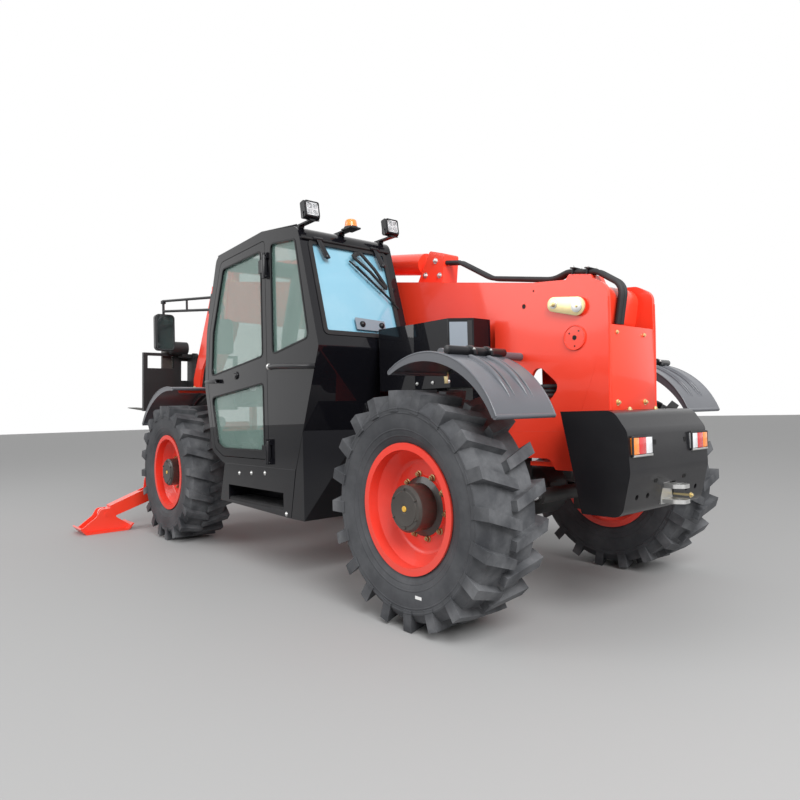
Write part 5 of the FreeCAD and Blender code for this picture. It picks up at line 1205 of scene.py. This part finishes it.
@dataclass
class FenderDress:
    """Side bands, ribs and rolled lips of the mudguards, with the tube and clamps on top."""

    inner: float = 0.660
    outer: float = 1.070
    steps: int = 36
    band: float = 0.0045
    wide_ribs: Spot = (0.930, 0.803)
    slim_ribs: Spot = (0.893, 0.766)
    clamp_rows: Spot = (0.890, 0.770)
    tube_ends: Spot = (1.045, 0.640)
    tube: float = 0.021
    tube_share: float = 0.475
    strap: tuple[Spot, ...] = ((0.078, 1.230), (0.102, 1.230), (0.108, 1.292), (0.072, 1.300))

    def build(self) -> None:
        """Builds all four mudguards' ribs, bands and lips, and the rear ones' tubes."""
        rear = Arch(((0.100, 1.290), (-0.220, 1.362), (-0.620, 1.050)), 0.515, 0.90)
        front = Arch(((3.910, 1.030), (3.500, 1.318), (3.090, 1.340)), 0.52, 0.10)
        shell, tubes, silver, strap = Forge(), Forge(), Forge(), Forge()
        for arch in (rear, front):
            for s in (1, -1):
                self.bands(shell, arch, s)
                for y in self.wide_ribs:
                    self.rib(shell, arch, y * s, 0.019, 0.014)
                for y in self.slim_ribs:
                    self.rib(shell, arch, y * s, 0.008, 0.009)
        for s in (1, -1):
            ends = [rear.spot(self.tube_share, y * s, self.tube * 0.9) for y in self.tube_ends]
            tubes.rod(*ends, self.tube, 28, bevel=0.002)
            for y in self.clamp_rows:
                middle = rear.spot(self.tube_share, y * s, self.tube * 0.9)
                tubes.rod(middle - LEFT * 0.013, middle + LEFT * 0.013, self.tube + 0.006, 28, bevel=0.001)
                for foot in (middle - AHEAD * 0.030, middle + AHEAD * 0.030):
                    tubes.block(foot - Vector((0.012, 0.012, 0.020)),
                                foot + Vector((0.012, 0.012, 0.004)), 0.002)
                    silver.bolt(foot + UP * 0.004, UP, 0.0065)
            strap.plate([at(u, 0.668 * s, z) for u, z in self.strap], LEFT * (0.004 * s), 0.0005)
        shell.piece("mudguard_forms", "root", "plastic", Slot.PLASTIC)
        tubes.piece("mudguard_tubes", "root", "satin", Slot.SATIN)
        silver.piece("mudguard_bolts", "root", "silver", Slot.STEEL)
        strap.piece("mudguard_straps", "root", "zinc", Slot.ZINC)

    def bands(self, shell: Forge, arch: Arch, s: int) -> None:
        """Adds both side bands, their rolled rims and the lips at the ends.

        Args:
            shell: Where they go.
            arch: The mudguard's curve.
            s: 1 on the left, -1 on the right.
        """
        shares = [i / self.steps for i in range(self.steps + 1)]
        for y, out in ((self.outer, 1), (self.inner, -1)):
            rings = []
            for share in shares:
                depth = 0.025 + 0.024 * math.sin(math.pi * share)
                near, far = (y - out * 0.001) * s, (y + out * self.band) * s
                rings.append([arch.spot(share, near, 0.0015), arch.spot(share, far, -0.0010),
                              arch.spot(share, far, -depth), arch.spot(share, near, -depth)])
            shell.skin(rings)
            shell.tube([arch.spot(share, (y + out * 0.001) * s, -0.0035) for share in shares], 0.0055, 10)
        for share in (0.0, 1.0):
            shell.tube([arch.spot(share, y * s, -0.010) for y in (self.inner - 0.003, self.outer + 0.003)],
                       0.0125, 14)

    def rib(self, shell: Forge, arch: Arch, y: float, width: float, height: float) -> None:
        """Adds a half-round rib that starts bluntly and runs out to a point.

        Args:
            shell: Where it goes.
            arch: The mudguard's curve.
            y: Its distance from the centre plane.
            width: Half its width.
            height: Its height.
        """
        rings = []
        for i in range(self.steps + 1):
            t = i / self.steps
            swell = max(0.05, math.sqrt(min(1.0, t / 0.05)) * min(1.0, (1.0 - t) / 0.35) ** 0.6)
            share = arch.ribs_start + (arch.ribs_end - arch.ribs_start) * t
            rings.append([arch.spot(share, y + math.cos(math.pi * k / 8) * width * swell,
                                    math.sin(math.pi * k / 8) * height * swell - 0.0005) for k in range(9)])
        shell.skin(rings)


@dataclass
class CabDress:
    """Seals, hinges, wiper, stay bar and handle of the cab, and what shows inside it."""

    left: float = CAB_LEFT
    right: float = 0.245
    window: tuple[Spot, ...] = ((1.575, 1.490), (1.575, 2.235), (2.190, 2.222), (2.395, 1.750),
                                (2.440, 1.400))
    low_window: tuple[Spot, ...] = ((1.575, 0.830), (1.575, 1.310), (2.440, 1.235), (2.345, 0.870),
                                    (2.230, 0.830))
    quarter: tuple[Spot, ...] = ((0.970, 1.560), (1.110, 2.215), (1.440, 2.255), (1.440, 1.490))
    side_window: tuple[Spot, ...] = ((1.100, 1.560), (1.200, 2.200), (2.180, 2.230), (2.380, 1.760),
                                     (2.430, 1.400))
    rear_pane: tuple[Spot, ...] = ((0.930, 2.195), (0.315, 2.195), (0.315, 1.585), (0.930, 1.585))
    wall_back: Vector = field(default_factory=lambda: Vector((-790.0, 0.0, 220.0)).normalized())
    strap: tuple[tuple[float, float, float], ...] = (
        (0.022, 2.215, 0.016), (-0.012, 2.215, 0.016), (-0.068, 2.088, 0.014), (-0.045, 2.076, 0.014),
        (-0.020, 2.088, 0.014))
    strap_knob: Profile = ((0.0, 0.015), (0.008, 0.014), (0.012, 0.009), (0.013, 0.0))
    foot_plate: tuple[Spot, ...] = ((0.682, 1.702), (0.440, 1.690), (0.440, 1.618), (0.682, 1.622))
    dome: Profile = ((0.0, 0.021), (0.006, 0.021), (0.014, 0.017), (0.020, 0.010), (0.021, 0.0))
    wiper_hub: Profile = ((0.0, 0.020), (0.016, 0.018), (0.022, 0.011), (0.023, 0.0))
    wiper_head: tuple[Spot, ...] = ((0.625, 2.135), (0.612, 2.115), (0.528, 2.150), (0.540, 2.172))
    wiper_arms: tuple[tuple[Spot, Spot, float], ...] = (
        ((0.545, 2.160), (0.372, 1.935), 0.0115), ((0.612, 2.122), (0.385, 1.925), 0.0100))
    blade_ends: tuple[Spot, Spot] = ((0.639, 2.097), (0.289, 1.793))
    stay_bar: tuple[tuple[float, float, float], ...] = (
        (1.455, 1.0015, 1.409), (1.440, 1.020, 1.409), (1.36, 1.028, 1.406), (1.15, 1.034, 1.392),
        (0.945, 1.026, 1.378), (0.915, 1.016, 1.376), (0.905, 1.0015, 1.376))
    stay_knob: Profile = ((0.0, 0.022), (0.012, 0.022), (0.020, 0.016), (0.024, 0.008), (0.024, 0.0))
    lever: tuple[Spot, ...] = ((2.285, 1.338), (2.300, 1.372), (2.490, 1.372), (2.500, 1.352))
    lock: Profile = ((0.0, 0.030), (0.008, 0.029), (0.012, 0.024), (0.010, 0.018), (0.016, 0.015),
                     (0.017, 0.0))

    def build(self) -> None:
        """Builds the outside fittings, then the inside."""
        self.seals()
        self.rear_window()
        self.wiper()
        self.fittings()
        self.inside()

    def wall(self, y: float, z: float, lift: float = 0.0) -> Vector:
        """A point on the cab's slanted rear wall.

        Args:
            y: Its distance from the centre plane.
            z: Its height.
            lift: How far it stands off the wall, backwards.

        Returns:
            The point.
        """
        return at(0.860 + (z - 1.500) * 220 / 790, y, z) + self.wall_back * lift

    def blade(self, share: float, lift: float) -> Vector:
        """A point along the wiper's blade.

        Args:
            share: Share of its length, from its top.
            lift: How far it stands off the wall.

        Returns:
            The point.
        """
        (y, z), (y_low, z_low) = self.blade_ends
        return self.wall(y + (y_low - y) * share, z + (z_low - z) * share, lift)

    def seals(self) -> None:
        """Rubber seals around the side panes."""
        fixed, moving = Forge(), Forge()
        for outline, target, y, out in (
                (self.window, moving, self.left, LEFT), (self.low_window, moving, self.left, LEFT),
                (self.quarter, fixed, self.left, LEFT), (self.side_window, fixed, self.right, -LEFT)):
            corners = soften([at(u, y + out.y * 0.0002, z) for u, z in outline], 0.045)
            target.frame(self.grown(corners, 0.003), out, 0.011, 0.0030)
        fixed.piece("cab_window_seals", "root", "seal", Slot.RUBBER)
        moving.piece("door_window_seals", "door", "seal", Slot.RUBBER)

    def grown(self, corners: list[Vector], amount: float) -> list[Vector]:
        """An outline pushed away from its middle.

        Args:
            corners: The outline.
            amount: How far.

        Returns:
            The larger outline.
        """
        middle = sum(corners, Vector()) / len(corners)
        return [c + (c - middle).normalized() * amount for c in corners]

    def rear_window(self) -> None:
        """Seal, pale border, top rail, strap hinges and foot plate of the rear window."""
        back = self.wall_back
        corners = soften([self.wall(y, z) for y, z in self.rear_pane], 0.04)
        seal, border, black, foot = Forge(), Forge(), Forge(), Forge()
        seal.frame(self.grown(corners, 0.016), back, 0.030, 0.006)
        seal.rod(self.wall(0.985, 2.208, 0.010), self.wall(0.275, 2.208, 0.010), 0.008, 12)
        seal.piece("rear_window_seal", "root", "seal", Slot.RUBBER)
        border.frame([c - back * 0.022 for c in self.grown(corners, -0.010)], back, 0.020, 0.003)
        border.piece("rear_window_border", "root", "pale", Slot.PLASTIC)
        for y in (0.866, 0.404):
            black.rod(self.wall(y + 0.040, 2.210, 0.018), self.wall(y - 0.030, 2.210, 0.018), 0.011, 16,
                      bevel=0.001)
            black.plate([self.wall(y + dy, z, lift) for dy, z, lift in self.strap], back * 0.009, 0.0015)
            black.lathe(self.strap_knob, self.wall(y - 0.045, 2.094, 0.021), back, 20)
        foot.plate(soften([self.wall(y, z, 0.002) for y, z in self.foot_plate], 0.008), back * 0.004)
        for y in (0.631, 0.472):
            black.lathe(self.dome, self.wall(y, 1.658, 0.005), back, 24)
        black.piece("rear_window_fittings", "root", "satin", Slot.SATIN)
        foot.piece("rear_window_foot_plate", "root", "plate", Slot.PLASTIC)

    def wiper(self) -> None:
        """The rear window's wiper: its hub, two arms and a blade in its holder."""
        back = self.wall_back
        wiper = Forge()
        wiper.lathe(self.wiper_hub, self.wall(0.580, 2.148, 0.006), back, 24)
        wiper.plate([self.wall(y, z, 0.020) for y, z in self.wiper_head], back * 0.007, 0.001)
        for (y_top, z_top), (y_low, z_low), radius in self.wiper_arms:
            wiper.tube([self.wall(y_top, z_top, 0.022),
                        self.wall((y_top + y_low) / 2, (z_top + z_low) / 2, 0.034),
                        self.wall(y_low, z_low, 0.022)], radius, 10)
        joint, half = self.wall(0.379, 1.930, 0.018), Vector((0.008, 0.014, 0.012))
        wiper.block(joint - half, joint + half, 0.003)
        wiper.tube([self.blade(share, 0.008 + 0.006 * math.sin(math.pi * share))
                    for share in (0.0, 0.2, 0.4, 0.6, 0.8, 1.0)], 0.0065, 8)
        for share in (0.15, 0.38, 0.62, 0.85):
            spot = self.blade(share, 0.018)
            wiper.rod(spot - back * 0.006, spot + back * 0.002, 0.0105, 12, bevel=0.001)
        wiper.tube([self.blade(share, 0.021) for share in (0.12, 0.35, 0.65, 0.88)], 0.0045, 8)
        wiper.piece("rear_wiper", "root", "seal", Slot.RUBBER)

    def fittings(self) -> None:
        """Stay bar with its knob, door lock, handle, hinge blocks and roof gutter."""
        bar, knob, hinge, door, lock = Forge(), Forge(), Forge(), Forge(), Forge()
        bar.tube([at(*spot) for spot in self.stay_bar], 0.0165, 14)
        knob.lathe(self.stay_knob, at(1.474, 1.0015, 1.412), LEFT, 24)
        for z in (0.827, 2.107):
            for dz in (-0.072, 0.077):
                spot = at(1.475, 1.0165, z + dz)
                hinge.rod(spot, spot + LEFT * 0.004, 0.008, 16, bevel=0.001)
            hinge.block(at(1.478, 1.002, z - 0.075), at(1.508, 1.030, z + 0.078), 0.005)
        bar.piece("cab_stay_bar", "root", "satin", Slot.SATIN)
        knob.piece("cab_stay_knob", "root", "silver", Slot.STEEL)
        hinge.piece("cab_hinge_covers", "root", "satin", Slot.SATIN)
        door.plate([at(u, 1.0205, z) for u, z in self.lever], LEFT * 0.016, 0.004)
        door.block(at(2.290, 1.0005, 1.345), at(2.325, 1.0215, 1.367), 0.003)
        door.piece("door_handle_lever", "door", "satin", Slot.SATIN)
        lock.lathe(self.lock, at(1.993, 1.0005, 1.383), LEFT, 28)
        lock.piece("door_lock", "door", "black", Slot.BLACK)
        strip = Forge()
        strip.tube([at(1.10, 0.992, 2.301), at(1.56, 0.992, 2.361), at(2.28, 0.992, 2.339)], 0.006, 8)
        strip.piece("roof_gutter", "root", "black", Slot.BLACK)

    def inside(self) -> None:
        """Dash, gauges, pedals and the lever with its knob."""
        trim, knob, face = Forge(), Forge(), Forge()
        dash = ((2.215, 1.180), (2.240, 1.400), (2.330, 1.420), (2.360, 1.150))
        trim.plate([at(u, 0.330, z) for u, z in dash], LEFT * 0.520, 0.012)
        for y in (0.500, 0.625, 0.750):
            spot = at(2.2265, y, 1.310)
            face.lathe([(0.0, 0.034), (0.006, 0.034), (0.006, 0.030), (0.003, 0.0)], spot,
                       Vector((-1, 0, 0.11)), 28)
        trim.tube([at(1.560, 0.330, 1.318), at(1.565, 0.335, 1.430), at(1.600, 0.340, 1.480)], 0.011, 10)
        knob.lathe([(0.0, 0.014), (0.02, 0.026), (0.055, 0.024), (0.075, 0.012), (0.078, 0.0)],
                   at(1.600, 0.340, 1.470), Vector((0.3, 0, 1)), 20)
        for y in (0.520, 0.640, 0.760):
            trim.plate([at(2.280, y - 0.035, 0.770), at(2.280, y + 0.035, 0.770), at(2.340, y + 0.035, 0.860),
                        at(2.340, y - 0.035, 0.860)], Vector((0.010, 0, -0.007)), 0.002)
        trim.piece("cab_dash", "root", "trim", Slot.PLASTIC)
        knob.piece("lever_knob", "root", "knob", Slot.PLASTIC)
        face.piece("cab_gauges", "root", "clear", Slot.LAMP)


@dataclass
class SeatDress:
    """Driver's seat: two crowned cushions with sewn panels, their shell and the suspension's bellows."""

    middle: float = 0.6225
    floor: float = 0.762
    half: float = 0.240
    folds: int = 7
    fold: float = 0.036
    cuts: int = 27
    roundness: float = 7.0

    def build(self) -> None:
        """Builds the seat and hides its plain stand-in."""
        cushion = self.pad("seat_cushion", Vector((0.51, self.half * 2, 0.125)), 0.030, 0.016)
        cushion.location = at(1.545, self.middle, self.floor + 0.392)
        back = self.pad("seat_back", Vector((0.115, self.half * 1.9, 0.60)), 0.022, 0.014)
        back.location = at(1.288, self.middle, self.floor + 0.690)
        back.rotation_euler = (0, math.radians(-13.0), 0)
        bpy.context.view_layer.update()
        for item in (cushion, back):
            item.data.transform(item.matrix_world)
            item.matrix_world = Matrix.Identity(4)
            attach(item, "root")
        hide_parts("cab_seat")
        shell = Forge()
        self.box(shell, (1.330, 1.730), 0.170, (0.0004, 0.060), 0.006)
        for i in range(self.folds):
            z = 0.060 + i * self.fold
            inset = 0.018 if i % 2 else 0.0
            self.box(shell, (1.335 + inset, 1.725 - inset), 0.165 - inset, (z, z + self.fold), 0.008)
        self.box(shell, (1.300, 1.780), 0.215, (0.312, 0.345), 0.010)
        for s in (1, -1):
            self.box(shell, (1.400, 1.520), 0.004, (0.300, 0.360), 0.003, s * 0.238)
        shell.piece("seat_shell", "root", "trim", Slot.PLASTIC)

    def box(self, shell: Forge, length: Spot, half: float, rise: Spot, bevel: float,
            across: float = 0.0) -> None:
        """Adds a block about the seat's middle line.

        Args:
            shell: Where it goes.
            length: Its ends, ahead of the rear axle.
            half: Half its width.
            rise: Its lowest and highest level over the cab's floor.
            bevel: Width of its rounded edges.
            across: Distance of its middle from the seat's.
        """
        y = self.middle + across
        shell.block(at(length[0], y - half, self.floor + rise[0]),
                    at(length[1], y + half, self.floor + rise[1]), bevel)

    def pad(self, name: str, size: Vector, crown: float, seam: float) -> bpy.types.Object:
        """A stuffed pad about the origin, crowned between its corners, with bolsters and sewn channels.

        Args:
            name: The piece's name.
            size: Its length, width and height.
            crown: How far each face swells.
            seam: Depth of the sewn channels.

        Returns:
            The object.
        """
        mesh = bmesh.new()
        bmesh.ops.create_cube(mesh, size=2.0)
        bmesh.ops.subdivide_edges(mesh, edges=mesh.edges[:], cuts=self.cuts, use_grid_fill=True)
        half = size / 2
        thin = min(range(3), key=lambda k: size[k])
        long = 2 if thin == 0 else 0
        for vert in mesh.verts:
            unit = vert.co.copy()
            reach = sum(abs(c) ** self.roundness for c in unit) ** (1 / self.roundness)
            point = Vector(unit[k] / reach * (half[k] - (crown if k == thin else 0.004)) for k in range(3))
            a, b = unit[long], unit[1]
            swell = (1 - a * a) * (1 - b * b)
            bolster = math.exp(-((abs(b) - 0.80) / 0.16) ** 2) * (1 - a ** 6)
            channel = math.exp(-((abs(b) - 0.56) / 0.028) ** 2)
            for k in range(-2, 3):
                channel += math.exp(-((a - k * 0.33) / 0.022) ** 2) * (1.0 if abs(b) < 0.56 else 0.0)
            lift = crown * (0.35 * swell + 0.65 * bolster)
            if abs(unit[thin]) > 0.98:
                lift -= seam * min(1.0, channel)
            point[thin] += math.copysign(lift, unit[thin]) * min(1.0, abs(unit[thin]) ** 3)
            vert.co = point
        data = bpy.data.meshes.new(name)
        mesh.to_mesh(data)
        mesh.free()
        item = bpy.data.objects.new(name, data)
        bpy.context.scene.collection.objects.link(item)
        data.materials.append(finish_of("seat"))
        data.shade_smooth()
        return item


@dataclass
class StepDress:
    """Toothed tread and the bolts of the step under the door."""

    teeth: int = 38
    pitch: float = 0.0215
    floor: float = 0.4452
    rows: tuple[float, ...] = (0.825, 0.870, 0.915, 0.960)
    bolts: tuple[Spot, ...] = ((1.973, 0.656), (1.780, 0.667), (1.577, 0.678), (1.292, 0.424))

    def build(self) -> None:
        """Builds the tread's teeth and the bolts."""
        tread, bolts = Forge(), Forge()
        for i in range(self.teeth):
            u = 1.350 + i * self.pitch
            for y in self.rows:
                tread.plate([at(u, y, self.floor), at(u + 0.016, y, self.floor), at(u + 0.011, y, 0.470),
                             at(u + 0.005, y, 0.470)], LEFT * 0.030)
        for y in (0.812, 0.992):
            tread.block(at(1.335, y - 0.003, self.floor), at(2.155, y + 0.003, 0.462))
        tread.piece("step_tread", "root", "seal", Slot.SATIN)
        for u, z in self.bolts:
            spot = at(u, CAB_LEFT, z)
            bolts.rod(spot, spot + LEFT * 0.0015, 0.0155, 20)
            bolts.lathe([(0.0010, 0.0115), (0.0045, 0.0108), (0.0075, 0.0080), (0.0090, 0.0)], spot, LEFT, 20)
        bolts.piece("step_bolts", "root", "silver", Slot.STEEL)


@dataclass
class MirrorDress:
    """Glass and rounded rim on each mirror's rear face, and the clamps on its arm."""

    cases: tuple[tuple[float, float, float], ...] = ((1.110, 3.180, 1.670), (0.620, 3.046, 1.650))

    def build(self) -> None:
        """Builds both mirrors' faces."""
        glass, rim, clamps = Forge(), Forge(), Forge()
        for y, u, low in self.cases:
            corners = [at(u - 0.0342, y + a * 0.080, low + 0.160 + b * 0.155)
                       for a, b in ((1, 1), (-1, 1), (-1, -1), (1, -1))]
            rim.frame(soften(corners, 0.036), -AHEAD, 0.009, 0.008)
            glass.plate(soften(corners, 0.036), -AHEAD * 0.003)
            for z in (low + 0.300, low + 0.430):
                clamps.block(at(u - 0.016, y - 0.018, z - 0.014), at(u + 0.016, y + 0.018, z + 0.014), 0.003)
        glass.piece("mirror_faces", "root", "mirror", Slot.GLASS)
        rim.piece("mirror_rims", "root", "trim", Slot.RUBBER)
        clamps.piece("mirror_clamps", "root", "trim", Slot.PLASTIC)


@dataclass
class TankDress:
    """Filler cap, bolts, and the corner's plate and gap on the black tanks beside the mast; the grey plate on
    the corner's facet is a painted reflection.
    """

    cap: tuple[float, float, float] = (1.021, 0.5358, 1.107)
    grips: int = 12
    corner: tuple[Spot, Spot] = ((0.220, 0.515), (0.135, 0.390))

    def build(self) -> None:
        """Builds the cap, the bolts, the plate of painted reflection and the gap."""
        cap, bolts, plate, gap = Forge(), Forge(), Forge(), Forge()
        middle = at(*self.cap)
        cap.lathe([(0.0, 0.044), (0.014, 0.044), (0.018, 0.040), (0.018, 0.0)], middle, LEFT, 36)
        for i in range(self.grips):
            turn = math.tau * i / self.grips
            spot = middle + Vector((0.042 * math.cos(turn), 0.0, 0.042 * math.sin(turn)))
            cap.block(spot + Vector((-0.005, 0.0, -0.005)), spot + Vector((0.005, 0.017, 0.005)), 0.0015)
        cap.piece("tank_cap", "root", "satin", Slot.SATIN)
        for u in (0.220, 0.360, 0.500):
            bolts.bolt(at(u, 0.5205, 1.250), LEFT, 0.007)
        bolts.piece("tank_bolts", "root", "silver", Slot.STEEL)
        start, end = (at(u, y, 0.0) for u, y in self.corner)
        run = (end - start).normalized()
        out = UP.cross(run) if run.y > 0 else run.cross(UP)
        # the plate is a grey sheet on the corner's facet: a painted reflection of the bright surroundings
        for target, (low, high), (first, last), lift in ((plate, (1.425, 1.598), (0.006, 0.112), 0.0022),
                                                         (gap, (1.300, 1.606), (0.114, 0.140), 0.0016)):
            target.plate([start + run * along + UP * z for along, z in
                          ((first, low), (last, low), (last, high), (first, high))], out * lift)
        plate.piece("tank_corner_reflection", "root", "plate", Slot.PLASTIC)
        gap.piece("tank_corner_gap", "root", "seal", Slot.RUBBER)


@dataclass
class PodDress:
    """Latches and screws of the engine pod."""

    def build(self) -> None:
        """Builds the pod's small fittings."""
        black, zinc = Forge(), Forge()
        for u in (1.150, 2.150):
            black.block(at(u - 0.045, -1.056, 1.225), at(u + 0.045, -1.0500, 1.265), 0.002)
            black.block(at(u - 0.030, -1.062, 1.232), at(u + 0.030, -1.0555, 1.248), 0.002)
        black.piece("pod_latches", "root", "satin", Slot.SATIN)
        for u in (0.910, 1.660, 2.410):
            for z in (0.760, 1.240):
                zinc.bolt(at(u, -1.0502, z), -LEFT, 0.007)
        zinc.piece("pod_screws", "root", "zinc", Slot.ZINC)


@dataclass
class LegDress:
    """Collars and bolts of the pins that carry the stabilisers' feet."""

    place: tuple[float, float, float] = (1.280, 1.360, 0.170)
    half: float = 0.0745

    def build(self) -> None:
        """Builds both legs' pin collars."""
        for side, s in (("left", 1), ("right", -1)):
            pin = Forge()
            x, y, z = self.place
            for out in (-AHEAD, AHEAD):
                spot = Vector((x, s * y, z)) + out * self.half
                pin.ring(spot, out, 0.040, 0.006, 36)
                pin.bolt(spot, out, 0.014)
            pin.piece(f"foot_pin_collars_{side}", f"stabiliser_leg_{side}", "label", Slot.ZINC)


@dataclass
class Studio:
    """Floor, sky, lights and the photograph's camera."""

    focal: float = 28.49
    place: tuple[float, float, float] = (-5.315, 3.113, 1.076)
    yaw: float = -40.06
    pitch: float = 1.13
    roll: float = -1.43
    sky_light: float = 0.62
    floor_grey: float = 0.36
    aim: Vector = field(default_factory=lambda: Vector((-1.0, 0.0, 1.0)))
    lamps: tuple[tuple[str, tuple[float, float, float], float, float], ...] = (
        ("key", (-9.0, 3.0, 6.5), 6.0, 900.0), ("fill", (3.0, 9.0, 6.0), 7.0, 420.0))

    def build(self) -> None:
        """Builds the whole stage."""
        self.camera()
        self.floor()
        self.sky()
        self.lights()
        bpy.context.scene.view_settings.view_transform = "Standard"

    def camera(self) -> None:
        """Sets the camera where the photograph was taken from."""
        yaw, pitch, roll = (math.radians(a) for a in (self.yaw, self.pitch, self.roll))
        ahead = Vector((math.cos(yaw) * math.cos(pitch), math.sin(yaw) * math.cos(pitch), math.sin(pitch)))
        right = Vector((math.sin(yaw), -math.cos(yaw), 0.0))
        above = right.cross(ahead)
        across = right * math.cos(roll) + above * math.sin(roll)
        over = above * math.cos(roll) - right * math.sin(roll)
        data = bpy.data.cameras.new("photo_camera")
        data.lens = self.focal
        data.sensor_width = 36.0
        data.sensor_fit = "HORIZONTAL"
        data.clip_end = 500.0
        item = bpy.data.objects.new("photo_camera", data)
        turn = Matrix((across, over, -ahead)).transposed().to_4x4()
        item.matrix_world = Matrix.Translation(Vector(self.place)) @ turn
        bpy.context.scene.collection.objects.link(item)
        bpy.context.scene.camera = item

    def floor(self) -> None:
        """Lays a plain pale floor."""
        mesh = bmesh.new()
        bmesh.ops.create_grid(mesh, x_segments=1, y_segments=1, size=60.0)
        data = bpy.data.meshes.new("floor")
        mesh.to_mesh(data)
        mesh.free()
        item = bpy.data.objects.new("floor", data)
        bpy.context.scene.collection.objects.link(item)
        graph = Graph("pale_floor")
        graph.set(Base_Color=rgba((self.floor_grey,) * 3), Roughness=0.7)
        graph.relief(graph.noise(60.0, 3.0), 0.1, 0.002)
        data.materials.append(graph.material)

    def sky(self) -> None:
        """White to the camera, to gloss and through glass, and softer as a light."""
        world = bpy.data.worlds.new("studio")
        world.use_nodes = True
        nodes, links = world.node_tree.nodes, world.node_tree.links
        path = nodes.new("ShaderNodeLightPath")
        seen = path.outputs["Is Camera Ray"]
        for ray in ("Is Glossy Ray", "Is Transmission Ray"):
            either = nodes.new("ShaderNodeMath")
            either.operation = "MAXIMUM"
            links.new(seen, either.inputs[0])
            links.new(path.outputs[ray], either.inputs[1])
            seen = either.outputs[0]
        level = nodes.new("ShaderNodeMapRange")
        level.inputs["To Min"].default_value = self.sky_light
        level.inputs["To Max"].default_value = 1.0
        links.new(seen, level.inputs["Value"])
        links.new(level.outputs[0], nodes["Background"].inputs["Strength"])
        nodes["Background"].inputs["Color"].default_value = (1.0, 1.0, 1.0, 1.0)
        bpy.context.scene.world = world

    def lights(self) -> None:
        """A wide soft key from high behind the camera's right, and a weaker fill."""
        for name, spot, size, power in self.lamps:
            data = bpy.data.lights.new(name, "AREA")
            data.shape = "DISK"
            data.size = size
            data.energy = power
            item = bpy.data.objects.new(name, data)
            item.location = spot
            item.rotation_euler = (self.aim - Vector(spot)).to_track_quat("-Z", "Y").to_euler()
            bpy.context.scene.collection.objects.link(item)


def main() -> None:
    """Builds the scene in order."""
    logging.basicConfig(level=logging.INFO, format="%(message)s")
    Studio().build()
    Bodywork().build()
    for end, u in (("front", 2 * HALF_WHEELBASE), ("rear", 0.0)):
        for name, side in (("left", 1), ("right", -1)):
            wheel = WheelDress(f"{end}_{name}", at(u, WHEEL_Y * side, AXLE_HEIGHT), side)
            wheel.build()
            if (end, name) == ("rear", "left"):
                wheel.label()
    for dress in (Lamps(), MastDress(), BoomDress(), FenderDress(), CabDress(), SeatDress(), StepDress(),
                  MirrorDress(), TankDress(), PodDress(), LegDress()):
        dress.build()


if __name__ == "__main__":
    main()
